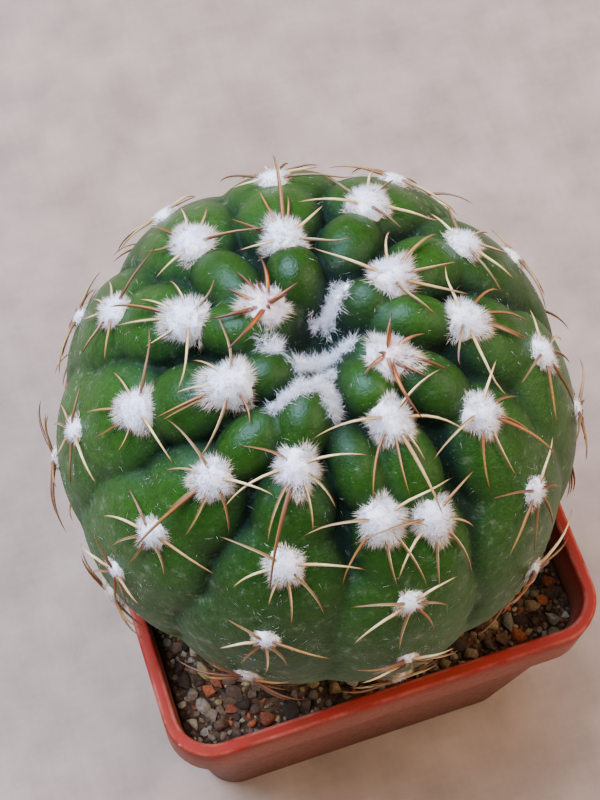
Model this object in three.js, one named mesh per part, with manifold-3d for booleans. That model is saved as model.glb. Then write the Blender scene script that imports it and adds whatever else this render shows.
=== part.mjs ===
// A round cactus in a square plastic nursery pot.
// Units are millimetres, +Z is up, and the origin is the middle of the pot's underside.
import * as THREE from 'three';
import { mergeVertices } from 'three/addons/utils/BufferGeometryUtils.js';
import Module from 'manifold-3d';

const wasm = await Module();
wasm.setup();

// Pot
const POT_HEIGHT = 65;
const RIM_HALF = 35;
const RIM_CORNER = 7.5;
const LIP_WIDTH = 2;
const EDGE_ROUND = 0.6;
const COLLAR_HEIGHT = 12.5;
const COLLAR_STEP = 1.3;
const BASE_HALF = 30;
const BASE_CORNER = 6.5;
const BASE_THICKNESS = 1.6;
const BASE_WALL = 1.4;
const DRAIN_RADIUS = 3;
const DRAIN_REACH = 16;
const GROOVE_WIDTH = 4;
const GROOVE_DEPTH = 0.8;
const CORNER_STEPS = 5;

// Soil
const SOIL_TOP = 57.5;
const CLEARANCE = 0.3;
const NECK_RADIUS = 9;
const NECK_DEPTH = 14;
const STONE_COUNT = 240;
const STONE_SMALL = 1.1;
const STONE_LARGE = 2.3;
const STONE_FREE_RADIUS = 24;

// Body of the cactus: a slightly flattened ball, a little off the pot's middle
const PLANT_X = -1.6;
const PLANT_Y = 1.9;
const PLANT_Z = 89.6;
const BODY_RADIUS = 37.4;
const BODY_FLATTEN = 0.96;
const CROWN_DIP = 4;
const CROWN_DIP_ANGLE = 11;
const FURROW_FLOOR = 4.6;
const CREASE_SHARPNESS = 4;
const SWELLING_OVERLAP = 1.07;
const SWELLING_HALF_WIDTH = [3.4, 4.5];
const FIRST_SWELLING = 0.64;
const INNER_FADE = [7, 12];
const INNER_DROP = 2.6;
const INNER_RISE = [2, 16];
const SWELLING_FADE = [20, 82];
const SWELLING_LENGTH = [1.04, 2.2];
const SWELLING_DEPTH = [5.2, 2.2];
const SWELLING_UNEVEN = 0.35;
const SWELLING_LEAN = 0.12;
const FOOT_DEPTH = 1.7;
const FOOT_FADE = [84, 112];
const MOUND_RADIUS = 3.2;
const MOUND_TOP = [-1.2, -0.5];
const MOUND_FADE = [30, 90];
const MOUND_FALL = 2.2;
const BODY_ROWS = 25;
const BODY_ROW_SPREAD = 1.21;
const STOPS_PER_RIB = [0, 0.28, 0.5, 0.72];
const BODY_SEAT = SOIL_TOP + 1.4;

// Ribs, clockwise seen from above. Each gives the direction it runs in beside the crown, on the
// shoulder and at the foot, the angle from the crown to its first areole, and the step to the next.
const RIBS = [
  { crown: 131, shoulder: 116, foot: 111, first: 14, step: 25 },
  { crown: 93, shoulder: 85, foot: 79, first: 25, step: 25 },
  { crown: 58, shoulder: 53, foot: 47, first: 37, step: 21 },
  { crown: 24, shoulder: 21, foot: 14, first: 20, step: 24 },
  { crown: -5, shoulder: -13, foot: -22, first: 32, step: 22 },
  { crown: -40, shoulder: -45, foot: -56, first: 15, step: 23 },
  { crown: -71, shoulder: -77, foot: -82, first: 24, step: 22, end: 60 },
  { crown: -98, shoulder: -89, foot: -90, first: 42, step: 20.5 },
  { crown: -121, shoulder: -118, foot: -123, first: 30, step: 20.5 },
  { crown: -138, shoulder: -150, foot: -158, first: 39, step: 19 },
  { crown: -166, shoulder: -182, foot: -189, first: 23, step: 21 },
  { crown: -204, shoulder: -213, foot: -220, first: 30, step: 21.5 },
];
const RIB_KNOTS = [20, 50, 85];
const LAST_AREOLE = 113;
const OLD_AREOLE = 80;

// Spines and felt
const SPINES_PER_AREOLE = 7;
const SPINE_LENGTH = 10.2;
const SPINE_SPREAD = [0.65, 1.25];
const SPINE_DROOP = 0.5;
const DROOP_FADE = [70, 100];
const SPINE_RISE = [0.34, 0.54];
const SPINE_FALL = 0.38;
const YOUNG_FADE = [12, 22];
const YOUNG_SHORTER = 0.3;
const YOUNG_RISE = 0.35;
const LOW_SHORTER = 0.25;
const LOW_FADE = [35, 80];
const OLD_SHORTER = 0.5;
const OLD_RISE = 0.18;
const OLD_RISE_FADE = [62, 84];
const FOOT_RISE_FADE = [92, 104];
const SPINE_LIFT = 0.8;
const SPINE_RADIUS = 0.42;
const SPINE_TAPER = 0.72;
const SPINE_MIDDLE = 0.55;
const CENTRAL_LENGTH = 14;
const CENTRAL_THICKER = 1.2;
const CENTRAL_TURN = [-20, 15];
const CENTRAL_RISE = [0.55, 0.8];
const CENTRAL_FALL = 0.4;
const CENTRAL_AREOLES = [18, 41];
const CENTRAL_SHARE = 0.85;
const FELT_RADIUS = 3.3;
const FELT_HEIGHT = 1.7;
const FELT_SIDES = 6;
const FELT_SIZE = [1.04, 0.5];
const FELT_FADE = [22, 84];
const FOOT_FELT = 0.16;
const FOOT_FELT_FADE = [86, 100];

// Wool in the hollow of the crown: direction and angle from the middle, in degrees
const CROWN_WOOL = [[55, 11], [62, 5], [222, 17], [243, 12], [260, 17], [228, 7], [290, 5], [178, 12]];
const CROWN_WOOL_SIZE = 0.55;

const radians = THREE.MathUtils.degToRad;
const mix = THREE.MathUtils.lerp;
const ramp = THREE.MathUtils.smoothstep;

// A fixed draw between 0 and 1 for one spine, stone or swelling and one use of it
function draw(item, part, use) {
  const wave = Math.sin(item * 12.9898 + part * 78.233 + use * 37.719) * 43758.5453;
  return wave - Math.floor(wave);
}

function toSolid(geometry) {
  const bare = geometry.clone();
  for (const name of Object.keys(bare.attributes)) {
    if (name !== 'position') bare.deleteAttribute(name);
  }
  const merged = mergeVertices(bare, 1e-4);
  const triangles = [];
  const index = merged.index.array;
  for (let i = 0; i < index.length; i += 3) {
    const [a, b, c] = [index[i], index[i + 1], index[i + 2]];
    if (a !== b && b !== c && c !== a) triangles.push(a, b, c);
  }
  return new wasm.Manifold(new wasm.Mesh({
    numProp: 3,
    vertProperties: Float32Array.from(merged.attributes.position.array),
    triVerts: Uint32Array.from(triangles),
  }));
}

function toGeometry(solid) {
  const mesh = solid.getMesh();
  const geometry = new THREE.BufferGeometry();
  geometry.setAttribute('position', new THREE.BufferAttribute(mesh.vertProperties, 3));
  geometry.setIndex(new THREE.BufferAttribute(mesh.triVerts, 1));
  geometry.computeVertexNormals();
  return geometry;
}

// The solid without the small hollows that crossing pieces close off
function outerShell(solid) {
  const shells = solid.decompose();
  return shells.reduce((best, shell) => (shell.volume() > best.volume() ? shell : best));
}

// Closed skin over a stack of rings with equal point counts, with a point at each end
function stackRings(rings, firstEnd, lastEnd) {
  const count = rings[0].length;
  const points = [firstEnd, ...rings.flat(), lastEnd];
  const at = (ring, i) => 1 + ring * count + (i % count);
  const faces = [];
  for (let i = 0; i < count; i++) {
    faces.push(0, at(0, i + 1), at(0, i));
    for (let ring = 0; ring + 1 < rings.length; ring++) {
      faces.push(at(ring, i), at(ring, i + 1), at(ring + 1, i + 1));
      faces.push(at(ring, i), at(ring + 1, i + 1), at(ring + 1, i));
    }
    faces.push(points.length - 1, at(rings.length - 1, i), at(rings.length - 1, i + 1));
  }
  const geometry = new THREE.BufferGeometry();
  geometry.setAttribute('position', new THREE.Float32BufferAttribute(points.flat(), 3));
  geometry.setIndex(faces);
  return geometry;
}

// Outline of a square with rounded corners at one height
function squareRing(half, corner, z) {
  const ring = [];
  for (let turn = 0; turn < 4; turn++) {
    const sideX = turn === 0 || turn === 3 ? 1 : -1;
    const sideY = turn < 2 ? 1 : -1;
    for (let step = 0; step <= CORNER_STEPS; step++) {
      const angle = (turn + step / CORNER_STEPS) * Math.PI / 2;
      ring.push([
        sideX * (half - corner) + corner * Math.cos(angle),
        sideY * (half - corner) + corner * Math.sin(angle),
        z,
      ]);
    }
  }
  return ring;
}

function squareStack(levels) {
  const rings = levels.map(([half, corner, z]) => squareRing(half, corner, z));
  return stackRings(rings, [0, 0, levels[0][2]], [0, 0, levels.at(-1)[2]]);
}

// Half width and corner radius of the pot's inside at a height
function potInside(z) {
  const part = (z - BASE_THICKNESS) / (POT_HEIGHT - BASE_THICKNESS);
  return [
    mix(BASE_HALF - BASE_WALL, RIM_HALF - LIP_WIDTH, part),
    mix(BASE_CORNER - BASE_WALL, RIM_CORNER - LIP_WIDTH, part),
  ];
}

function makePot() {
  const collarFoot = POT_HEIGHT - COLLAR_HEIGHT;
  const stepped = RIM_HALF - COLLAR_STEP;
  const outside = toSolid(squareStack([
    [BASE_HALF - EDGE_ROUND, BASE_CORNER - EDGE_ROUND, 0],
    [BASE_HALF, BASE_CORNER, EDGE_ROUND],
    [stepped, RIM_CORNER - COLLAR_STEP, collarFoot],
    [RIM_HALF - EDGE_ROUND, RIM_CORNER - EDGE_ROUND, collarFoot],
    [RIM_HALF - EDGE_ROUND / 3, RIM_CORNER, collarFoot + EDGE_ROUND],
    [RIM_HALF, RIM_CORNER, POT_HEIGHT - EDGE_ROUND],
    [RIM_HALF - EDGE_ROUND, RIM_CORNER - EDGE_ROUND, POT_HEIGHT],
  ]));
  const [lowHalf, lowCorner] = potInside(BASE_THICKNESS);
  const [highHalf, highCorner] = potInside(POT_HEIGHT);
  const cavity = toSolid(squareStack([
    [lowHalf, lowCorner, BASE_THICKNESS],
    [highHalf, highCorner, POT_HEIGHT],
    [highHalf, highCorner, POT_HEIGHT + 1],
  ]));
  let pot = outside.subtract(cavity);
  for (let side = 0; side < 4; side++) {
    const angle = side * Math.PI / 2;
    const hole = new THREE.CylinderGeometry(DRAIN_RADIUS, DRAIN_RADIUS, 3 * BASE_THICKNESS, 16);
    hole.rotateX(Math.PI / 2);
    hole.translate(DRAIN_REACH, 0, BASE_THICKNESS);
    hole.rotateZ(angle);
    const run = BASE_HALF - DRAIN_REACH + 2;
    const groove = new THREE.BoxGeometry(run, GROOVE_WIDTH, 2 * GROOVE_DEPTH);
    groove.translate(DRAIN_REACH + run / 2, 0, 0);
    groove.rotateZ(angle);
    pot = pot.subtract(toSolid(hole)).subtract(toSolid(groove));
  }
  return toGeometry(pot);
}

function makeSoil() {
  const bottom = BASE_THICKNESS + CLEARANCE;
  const [lowHalf, lowCorner] = potInside(bottom);
  const [highHalf, highCorner] = potInside(SOIL_TOP);
  let soil = toSolid(squareStack([
    [lowHalf - CLEARANCE, lowCorner - CLEARANCE, bottom],
    [highHalf - CLEARANCE, highCorner - CLEARANCE, SOIL_TOP],
  ]));
  const holeDepth = NECK_DEPTH + CLEARANCE;
  const hole = new THREE.CylinderGeometry(NECK_RADIUS + CLEARANCE, NECK_RADIUS + CLEARANCE, 2 * holeDepth, 24);
  hole.rotateX(Math.PI / 2);
  hole.translate(PLANT_X, PLANT_Y, SOIL_TOP);
  soil = soil.subtract(toSolid(hole));
  // Grit lies where the plant leaves the soil open, and each stone is sunk a third into it
  for (let i = 0; i < STONE_COUNT; i++) {
    const size = mix(STONE_SMALL, STONE_LARGE, draw(i, 1, 1) ** 2);
    const reach = highHalf - CLEARANCE - size - 0.4;
    const x = mix(-reach, reach, draw(i, 2, 1));
    const y = mix(-reach, reach, draw(i, 3, 1));
    const inCorner = Math.min(Math.abs(x), Math.abs(y)) > reach - highCorner / 2;
    if (inCorner || Math.hypot(x - PLANT_X, y - PLANT_Y) < STONE_FREE_RADIUS + size) continue;
    const stone = new THREE.CylinderGeometry(size * mix(0.45, 0.8, draw(i, 4, 1)), size, size * 1.3, 5);
    stone.scale(1, 1, mix(0.65, 1, draw(i, 5, 1)));
    stone.rotateX(Math.PI / 2 + mix(-0.4, 0.4, draw(i, 6, 1)));
    stone.rotateZ(Math.PI * 2 * draw(i, 7, 1));
    stone.translate(x, y, SOIL_TOP + size * 0.15);
    soil = soil.add(toSolid(stone));
  }
  return toGeometry(soil);
}

// Direction of a rib at an angle from the crown, in degrees
function ribAzimuth(rib, polar) {
  const [low, middle, high] = RIB_KNOTS;
  const p = Math.min(polar, high);
  return rib.crown * (p - middle) * (p - high) / ((low - middle) * (low - high))
    + rib.shoulder * (p - low) * (p - high) / ((middle - low) * (middle - high))
    + rib.foot * (p - low) * (p - middle) / ((high - low) * (high - middle));
}

function direction(azimuth, polar) {
  const a = radians(azimuth);
  const p = radians(polar);
  return new THREE.Vector3(Math.sin(p) * Math.cos(a), Math.sin(p) * Math.sin(a), Math.cos(p));
}

// Sideways and outward directions of a rib on the skin
function ribFrame(rib, polar) {
  const centre = direction(ribAzimuth(rib, polar), polar);
  const ahead = direction(ribAzimuth(rib, polar + 1), polar + 1);
  const along = ahead.sub(centre).projectOnPlane(centre).normalize();
  const across = new THREE.Vector3().crossVectors(along, centre).normalize();
  return { centre, along, across };
}

// Half the width of a rib, from the gap to the ribs that stand beside it
function ribHalfWidth(index, polar) {
  const present = RIBS.filter((rib) => !rib.end || polar < rib.end || rib === RIBS[index]);
  const here = present.indexOf(RIBS[index]);
  const azimuth = ribAzimuth(RIBS[index], polar);
  const gaps = [here - 1, here + 1].map((other) => {
    const beside = ribAzimuth(present[(other + present.length) % present.length], polar);
    return Math.abs(((beside - azimuth + 540) % 360) - 180);
  });
  const width = radians((gaps[0] + gaps[1]) / 4) * Math.sin(radians(polar)) * BODY_RADIUS;
  const least = mix(...SWELLING_HALF_WIDTH, ramp(polar, ...INNER_FADE));
  return Math.max(width * SWELLING_OVERLAP, least);
}

const areoles = [];
const swellings = [];
RIBS.forEach((rib, index) => {
  for (let polar = rib.first; polar < Math.min(LAST_AREOLE, rib.end ?? 180); polar += rib.step) {
    areoles.push({ ...ribFrame(rib, polar), polar, number: areoles.length });
  }
  const lastSwelling = Math.min(150, (rib.end ?? 150) + rib.step / 2);
  for (let place = rib.first - rib.step / 2; place < lastSwelling; place += rib.step) {
    const polar = Math.max(place, rib.first * FIRST_SWELLING);
    const halfStep = Math.min(rib.step / 2, Math.abs(rib.first - polar));
    const number = swellings.length;
    const fade = ramp(polar, ...SWELLING_FADE);
    swellings.push({
      ...ribFrame(rib, polar),
      width: ribHalfWidth(index, polar),
      length: radians(halfStep) * BODY_RADIUS * mix(...SWELLING_LENGTH, fade),
      depth: mix(mix(...SWELLING_DEPTH, fade), FOOT_DEPTH, ramp(polar, ...FOOT_FADE)),
      top: mix(-SWELLING_UNEVEN, SWELLING_UNEVEN, draw(number, 1, 2)) * (1 - fade)
        - INNER_DROP * (1 - ramp(polar, ...INNER_RISE)),
    });
  }
});

// Height of the skin over the smooth ball: swellings meet in furrows, and a low mound fills the
// notch under each areole
function relief(point) {
  let sum = Math.exp(-CREASE_SHARPNESS * FURROW_FLOOR);
  const side = new THREE.Vector3();
  for (const { centre, along, across, width, length, depth, top } of swellings) {
    if (side.copy(point).sub(centre).lengthSq() > 0.5) continue;
    const x = side.dot(across) * BODY_RADIUS / width;
    const y = side.dot(along) * BODY_RADIUS / length;
    const q = Math.hypot(x * (1 - SWELLING_LEAN * y), y);
    const cap = q < 1 ? Math.sqrt(1 - q * q) : 3 - 3 * q;
    sum += Math.exp(CREASE_SHARPNESS * (top - depth * (1 - cap)));
  }
  for (const { centre, polar } of areoles) {
    const reach = side.copy(point).sub(centre).length() * BODY_RADIUS / MOUND_RADIUS;
    if (reach > 2) continue;
    const height = mix(...MOUND_TOP, ramp(polar, ...MOUND_FADE)) - MOUND_FALL * reach ** 2;
    sum += Math.exp(CREASE_SHARPNESS * height);
  }
  return Math.log(sum) / CREASE_SHARPNESS;
}

// Distance from the body's middle to its skin in a direction
function skinDistance(point) {
  const polar = THREE.MathUtils.radToDeg(Math.acos(THREE.MathUtils.clamp(point.z, -1, 1)));
  const ball = BODY_RADIUS / Math.hypot(point.x, point.y, point.z / BODY_FLATTEN);
  const dip = CROWN_DIP * Math.exp(-((polar / CROWN_DIP_ANGLE) ** 2));
  const free = ball - dip + relief(point);
  const seat = PLANT_Z - BODY_SEAT;
  return point.z * free < -seat ? seat / -point.z : free;
}

function skinPoint(point, lift = 0) {
  const reach = skinDistance(point) + lift;
  return new THREE.Vector3(PLANT_X, PLANT_Y, PLANT_Z).addScaledVector(point, reach);
}

// Directions of the points round the body at one angle: on each crest, each flank and each furrow
function skinAzimuths(polar) {
  const crests = RIBS.map((rib) => ribAzimuth(rib, polar)).reverse();
  return crests.flatMap((crest, i) => {
    const gap = i + 1 < crests.length ? crests[i + 1] - crest : crests[0] + 360 - crest;
    return STOPS_PER_RIB.map((stop) => crest + gap * stop);
  });
}

function makeBody() {
  const rings = [];
  for (let row = 1; row < BODY_ROWS; row++) {
    const polar = 180 * (row / BODY_ROWS) ** BODY_ROW_SPREAD;
    rings.unshift(skinAzimuths(polar).map((azimuth) => skinPoint(direction(azimuth, polar)).toArray()));
  }
  const top = skinPoint(direction(0, 0)).toArray();
  const under = skinPoint(direction(0, 180)).toArray();
  const body = toSolid(stackRings(rings, under, top));
  const neckTop = BODY_SEAT + 4;
  const neckFoot = SOIL_TOP - NECK_DEPTH + CLEARANCE;
  const neck = new THREE.CylinderGeometry(NECK_RADIUS, NECK_RADIUS * 0.7, neckTop - neckFoot, 16);
  neck.rotateX(Math.PI / 2);
  neck.translate(PLANT_X, PLANT_Y, (neckTop + neckFoot) / 2);
  return body.add(toSolid(neck));
}

function feltSize({ polar, number }) {
  const size = mix(...FELT_SIZE, ramp(polar, ...FELT_FADE)) + FOOT_FELT * ramp(polar, ...FOOT_FELT_FADE);
  return size * mix(0.9, 1.1, draw(number, 0, 3));
}

// A star-edged dome of felt over an areole
function makeFelt({ centre, along, across }, size) {
  const middle = skinPoint(centre);
  const at = (reach, angle, height) => middle.clone()
    .addScaledVector(across, reach * Math.cos(angle))
    .addScaledVector(along, reach * Math.sin(angle))
    .addScaledVector(centre, height)
    .toArray();
  const rings = [-1.2, 0.45].map((height, level) => {
    const ring = [];
    for (let i = 0; i < FELT_SIDES; i++) {
      const point = i % 2 ? 0.78 : 1;
      const reach = FELT_RADIUS * size * point * (level ? 1 : 0.8);
      ring.push(at(reach, 2 * Math.PI * i / FELT_SIDES, height));
    }
    return ring;
  });
  return toSolid(stackRings(rings, at(0, 0, -1.4), at(0, 0, FELT_HEIGHT * size)));
}

// Whether a point keeps clear of the pot and the soil
function isClear(point) {
  const side = Math.max(Math.abs(point.x), Math.abs(point.y));
  const overRim = point.z > POT_HEIGHT + 0.8;
  const inside = side < RIM_HALF - LIP_WIDTH - 1.5 && point.z > SOIL_TOP + STONE_LARGE + 0.8;
  return overRim || inside;
}

// Root, middle and tip of a spine: it leaves the areole at a slant, curves back along the skin and
// droops towards the foot
function spineRoute({ centre, along, across, polar, number }, spine) {
  const central = spine === SPINES_PER_AREOLE;
  const young = 1 - ramp(polar, ...YOUNG_FADE);
  const turn = (spine + 0.5 + mix(-0.25, 0.25, draw(number, spine, 4))) / SPINES_PER_AREOLE;
  const heading = radians(central ? mix(...CENTRAL_TURN, draw(number, spine, 4)) : 360 * turn);
  const lifted = ramp(polar, ...OLD_RISE_FADE) - ramp(polar, ...FOOT_RISE_FADE);
  const rise = mix(...(central ? CENTRAL_RISE : SPINE_RISE), draw(number, spine, 6))
    + YOUNG_RISE * young + OLD_RISE * lifted;
  const fall = central ? CENTRAL_FALL : SPINE_FALL;
  const droop = SPINE_DROOP * (1 - ramp(polar, ...DROOP_FADE));
  const rootReach = skinDistance(centre) - 0.3;
  const at = (t, length) => {
    const angle = length * t / BODY_RADIUS;
    const turned = heading - droop * Math.sin(heading) * t;
    const flat = along.clone().multiplyScalar(Math.cos(turned)).addScaledVector(across, Math.sin(turned));
    const ray = centre.clone().multiplyScalar(Math.cos(angle)).addScaledVector(flat, Math.sin(angle));
    const lowest = t > 0 ? skinDistance(ray) + SPINE_LIFT : 0;
    const reach = Math.max(rootReach + length * (rise * t - fall * t * t), lowest);
    return new THREE.Vector3(PLANT_X, PLANT_Y, PLANT_Z).addScaledVector(ray, reach);
  };
  const base = central ? CENTRAL_LENGTH : SPINE_LENGTH;
  let length = base * mix(...SPINE_SPREAD, draw(number, spine, 5))
    * (1 - YOUNG_SHORTER * young) * (1 - LOW_SHORTER * ramp(polar, ...LOW_FADE));
  if (polar > OLD_AREOLE) length *= 1 - OLD_SHORTER * Math.max(Math.cos(heading), 0);
  while (!(isClear(at(SPINE_MIDDLE, length)) && isClear(at(1, length)))) length *= 0.93;
  return { root: at(0, length), middle: at(SPINE_MIDDLE, length), tip: at(1, length) };
}

function makeSpine(areole, spine) {
  const { root, middle, tip } = spineRoute(areole, spine);
  const central = spine === SPINES_PER_AREOLE;
  const radius = SPINE_RADIUS * (central ? CENTRAL_THICKER : 1);
  const forward = middle.clone().sub(root).normalize();
  const sideways = new THREE.Vector3().crossVectors(forward, areole.centre).normalize();
  const upward = new THREE.Vector3().crossVectors(forward, sideways);
  const ring = (place, size) => [0, 1, 2].map((i) => place.clone()
    .addScaledVector(sideways, size * Math.cos(2 * Math.PI * i / 3))
    .addScaledVector(upward, size * Math.sin(2 * Math.PI * i / 3))
    .toArray());
  const back = root.clone().addScaledVector(forward, -0.2);
  return toSolid(stackRings([ring(root, radius), ring(middle, radius * SPINE_TAPER)], back.toArray(), tip.toArray()));
}

function makeCactus() {
  const pieces = [];
  for (const areole of areoles) {
    pieces.push(makeFelt(areole, feltSize(areole)));
    // The spine that points up the rib is left out, and one at a side, or both sides on old areoles
    const sides = areole.polar > OLD_AREOLE ? [1, 5] : [areole.number % 2 ? 1 : 5];
    for (let spine = 0; spine < SPINES_PER_AREOLE; spine++) {
      if (spine !== 3 && !sides.includes(spine)) pieces.push(makeSpine(areole, spine));
    }
    const [highest, lowest] = CENTRAL_AREOLES;
    const onShoulder = areole.polar > highest && areole.polar < lowest;
    if (onShoulder && draw(areole.number, 9, 46) < CENTRAL_SHARE) {
      pieces.push(makeSpine(areole, SPINES_PER_AREOLE));
    }
  }
  for (const [azimuth, polar] of CROWN_WOOL) {
    const frame = ribFrame({ crown: azimuth, shoulder: azimuth, foot: azimuth }, polar);
    pieces.push(makeFelt(frame, CROWN_WOOL_SIZE));
  }
  const fused = wasm.Manifold.union([makeBody(), ...pieces]);
  return toGeometry(outerShell(fused));
}

function addPart(group, name, geometry, colour, roughness) {
  const material = new THREE.MeshStandardMaterial({ color: colour, roughness, metalness: 0 });
  const mesh = new THREE.Mesh(geometry, material);
  mesh.name = name;
  group.add(mesh);
}

const plant = new THREE.Group();
addPart(plant, 'pot', makePot(), '#b5402f', 0.45);
addPart(plant, 'soil', makeSoil(), '#3c2c22', 0.95);
addPart(plant, 'cactus', makeCactus(), '#2f7328', 0.5);

export default plant;
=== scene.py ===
# A round cactus in a square plastic nursery pot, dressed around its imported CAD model.
# Values whose names end in _MM are millimetres and angles are degrees. Everything else is metres.
import math

import bpy
import numpy as np
from mathutils import Matrix, Vector, noise


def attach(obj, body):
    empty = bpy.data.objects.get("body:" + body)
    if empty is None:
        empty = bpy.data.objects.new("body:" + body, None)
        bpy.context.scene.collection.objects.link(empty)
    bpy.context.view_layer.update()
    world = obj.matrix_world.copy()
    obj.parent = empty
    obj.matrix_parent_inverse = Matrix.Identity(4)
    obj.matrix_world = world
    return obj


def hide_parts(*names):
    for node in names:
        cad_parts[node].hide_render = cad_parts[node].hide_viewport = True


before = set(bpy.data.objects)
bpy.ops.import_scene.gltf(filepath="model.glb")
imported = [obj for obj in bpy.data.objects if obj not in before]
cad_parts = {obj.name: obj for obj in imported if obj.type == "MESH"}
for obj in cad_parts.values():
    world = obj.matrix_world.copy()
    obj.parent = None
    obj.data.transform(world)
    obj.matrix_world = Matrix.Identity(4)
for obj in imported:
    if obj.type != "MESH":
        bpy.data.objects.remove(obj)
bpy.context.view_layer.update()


# Camera
# It looks steeply down on the plant from in front and a little to the left, held slightly askew.
# The lens is long, as on a telephone's close-up.
VIEW_PLACE = (-0.0343, -0.0750, 0.3061)
VIEW_DOWN = 68.02
VIEW_TURN = -21.31
VIEW_ROLL = 3.09

lens = bpy.data.cameras.new("view")
lens.lens = 72
lens.sensor_width = 36
lens.clip_start = 0.01
camera = bpy.data.objects.new("view", lens)
bpy.context.scene.collection.objects.link(camera)
camera.matrix_world = (
    Matrix.Translation(VIEW_PLACE)
    @ Matrix.Rotation(math.radians(VIEW_TURN), 4, "Z")
    @ Matrix.Rotation(math.radians(90 - VIEW_DOWN), 4, "X")
    @ Matrix.Rotation(math.radians(VIEW_ROLL), 4, "Z")
)
bpy.context.scene.camera = camera


# Floor
# A pale board with a faint linen grain and cloudy tone that the pot stands on. It belongs to the
# stage.
MM = 0.001
FLOOR_WIDTH = 3.0
FLOOR_PALE = "#9c8a7c"
FLOOR_DEEP = "#817165"
CLOUD_MM = 14
FIBRE_MM = 0.9
THREAD_MM = 1.2
THREAD_STRETCH = 8
WEAVE_SHARE = 0.12


def deselect_all():
    """Operators act on what is selected, so each piece starts with nothing selected."""
    bpy.ops.object.select_all(action="DESELECT")


def linear(colour):
    """The linear colour of an sRGB hex value."""
    channels = [int(colour[i:i + 2], 16) / 255 for i in (1, 3, 5)]
    return (*[c / 12.92 if c <= 0.04045 else ((c + 0.055) / 1.055) ** 2.4 for c in channels], 1.0)


def new_material(name, settings):
    """A material, its surface shader set to these values, and its coordinates on the object."""
    material = bpy.data.materials.new(name)
    material.use_nodes = True
    nodes = material.node_tree.nodes
    shader = nodes["Principled BSDF"]
    for setting, value in settings.items():
        shader.inputs[setting].default_value = value
    return material, shader, nodes.new("ShaderNodeTexCoord").outputs["Object"]


def find_input(node, name):
    """A node's input by its number, or by its name among those that its settings leave in use."""
    if isinstance(name, int):
        return node.inputs[name]
    return next(socket for socket in node.inputs if socket.enabled and socket.name == name)


def link(material, source, node, name):
    """Feed a node's input from an output, or from the main output of another node."""
    if isinstance(source, bpy.types.Node):
        source = next(socket for socket in source.outputs if socket.enabled)
    material.node_tree.links.new(source, find_input(node, name))


def add_node(material, kind, settings=None, links=None):
    """Add a node. A setting is a property or an input's value, and stops fill a colour ramp."""
    node = material.node_tree.nodes.new("ShaderNode" + kind)
    for name, value in (settings or {}).items():
        if name == "stops":
            stops = node.color_ramp.elements
            stops[0].position, stops[-1].position = value[0][0], value[-1][0]
            for place, colour in value[1:-1]:
                stops.new(place)
            for stop, (place, colour) in zip(stops, value):
                stop.color = linear(colour)
        elif isinstance(name, str) and hasattr(node, name):
            setattr(node, name, value)
        else:
            find_input(node, name).default_value = value
    for name, source in (links or {}).items():
        link(material, source, node, name)
    return node


board, board_shader, place = new_material("pale_painted_board", {"Roughness": 0.75})
cloud = add_node(board, "TexNoise", {"Scale": 1 / (CLOUD_MM * MM), "Detail": 4.0}, {"Vector": place})
weaves = []
for stretch in ((1, 1 / THREAD_STRETCH, 1), (1 / THREAD_STRETCH, 1, 1)):
    drawn = add_node(board, "Mapping", {"Scale": stretch}, {"Vector": place})
    weaves.append(add_node(
        board, "TexNoise", {"Scale": 1 / (THREAD_MM * MM), "Detail": 2.0}, {"Vector": drawn}
    ))
weave = add_node(board, "Math", {"operation": "ADD"}, {0: weaves[0], 1: weaves[1]})
mottled = add_node(board, "Math", {"operation": "MULTIPLY_ADD", 1: WEAVE_SHARE}, {0: weave, 2: cloud})
tone = add_node(board, "ValToRGB", {"stops": [(0.42, FLOOR_DEEP), (0.82, FLOOR_PALE)]}, {"Fac": mottled})
link(board, tone, board_shader, "Base Color")
fibre = add_node(board, "TexNoise", {"Scale": 1 / (FIBRE_MM * MM), "Detail": 2.0}, {"Vector": place})
relief = add_node(board, "Bump", {"Strength": 0.3, "Distance": 0.2 * MM}, {"Height": fibre})
link(board, relief, board_shader, "Normal")

deselect_all()
bpy.ops.mesh.primitive_plane_add(size=FLOOR_WIDTH)
floor = bpy.context.object
floor.name = "floor"
floor.data.materials.append(board)


# Pot
# A square nursery pot, injection moulded in red polypropylene: tapered walls, a deep collar under
# a flat lip, rounded corners, and four drain holes with run-off grooves in the base.
POT_HEIGHT_MM = 65
BASE_HALF_MM = 30
BASE_CORNER_MM = 6.5
RIM_HALF_MM = 35
COLLAR_HEIGHT_MM = 12.5
COLLAR_STEP_MM = 1.3
LIP_MM = 2
FLOOR_THICKNESS_MM = 1.6
INSIDE_BASE_HALF_MM = 28.6
POT_EDGE_MM = 0.6
SHARP_EDGE = 35
SMOOTH_BELOW = 38
DRAIN_EDGE_MM = 0.16
DRAIN_RADIUS_MM = 3
DRAIN_REACH_MM = 16
GROOVE_WIDTH_MM = 4
GROOVE_DEPTH_MM = 0.8
GROOVE_OVERRUN_MM = 2
RIM_WEAR_AND_HIGHLIGHT_BELOW_TOP_MM = (0.02, 0.48)
POT_RED = "#8b2a23"
POT_FADED = "#7f2c20"
POT_SCUFF = "#bf8372"
POT_DUST_AND_BOUNCE = "#8d6854"
POT_LOW_SHADE = "#3c2012"
DUST_AND_BOUNCE_FADE_MM = (64, 60)
LOW_SHADE_FADE_MM = (66, 14)
LOW_SHADE_WANDER_MM = 20
MOULD_FLOW_MM = 5
FLOW_SQUASH = 0.25
SCUFF_MM = 1.1
WEAR_MM = 5
WEAR_SQUASH = 0.7
DUST_MM = 1.6
HAZE_MM = 7


def draw_up(height_mm, scale):
    """Extrude what is selected straight up, then scale the new end about the pot's axis."""
    bpy.ops.mesh.extrude_region_move(TRANSFORM_OT_translate={"value": (0, 0, height_mm * MM)})
    bpy.ops.transform.resize(value=(scale, scale, 1), center_override=(0, 0, 0))


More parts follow.
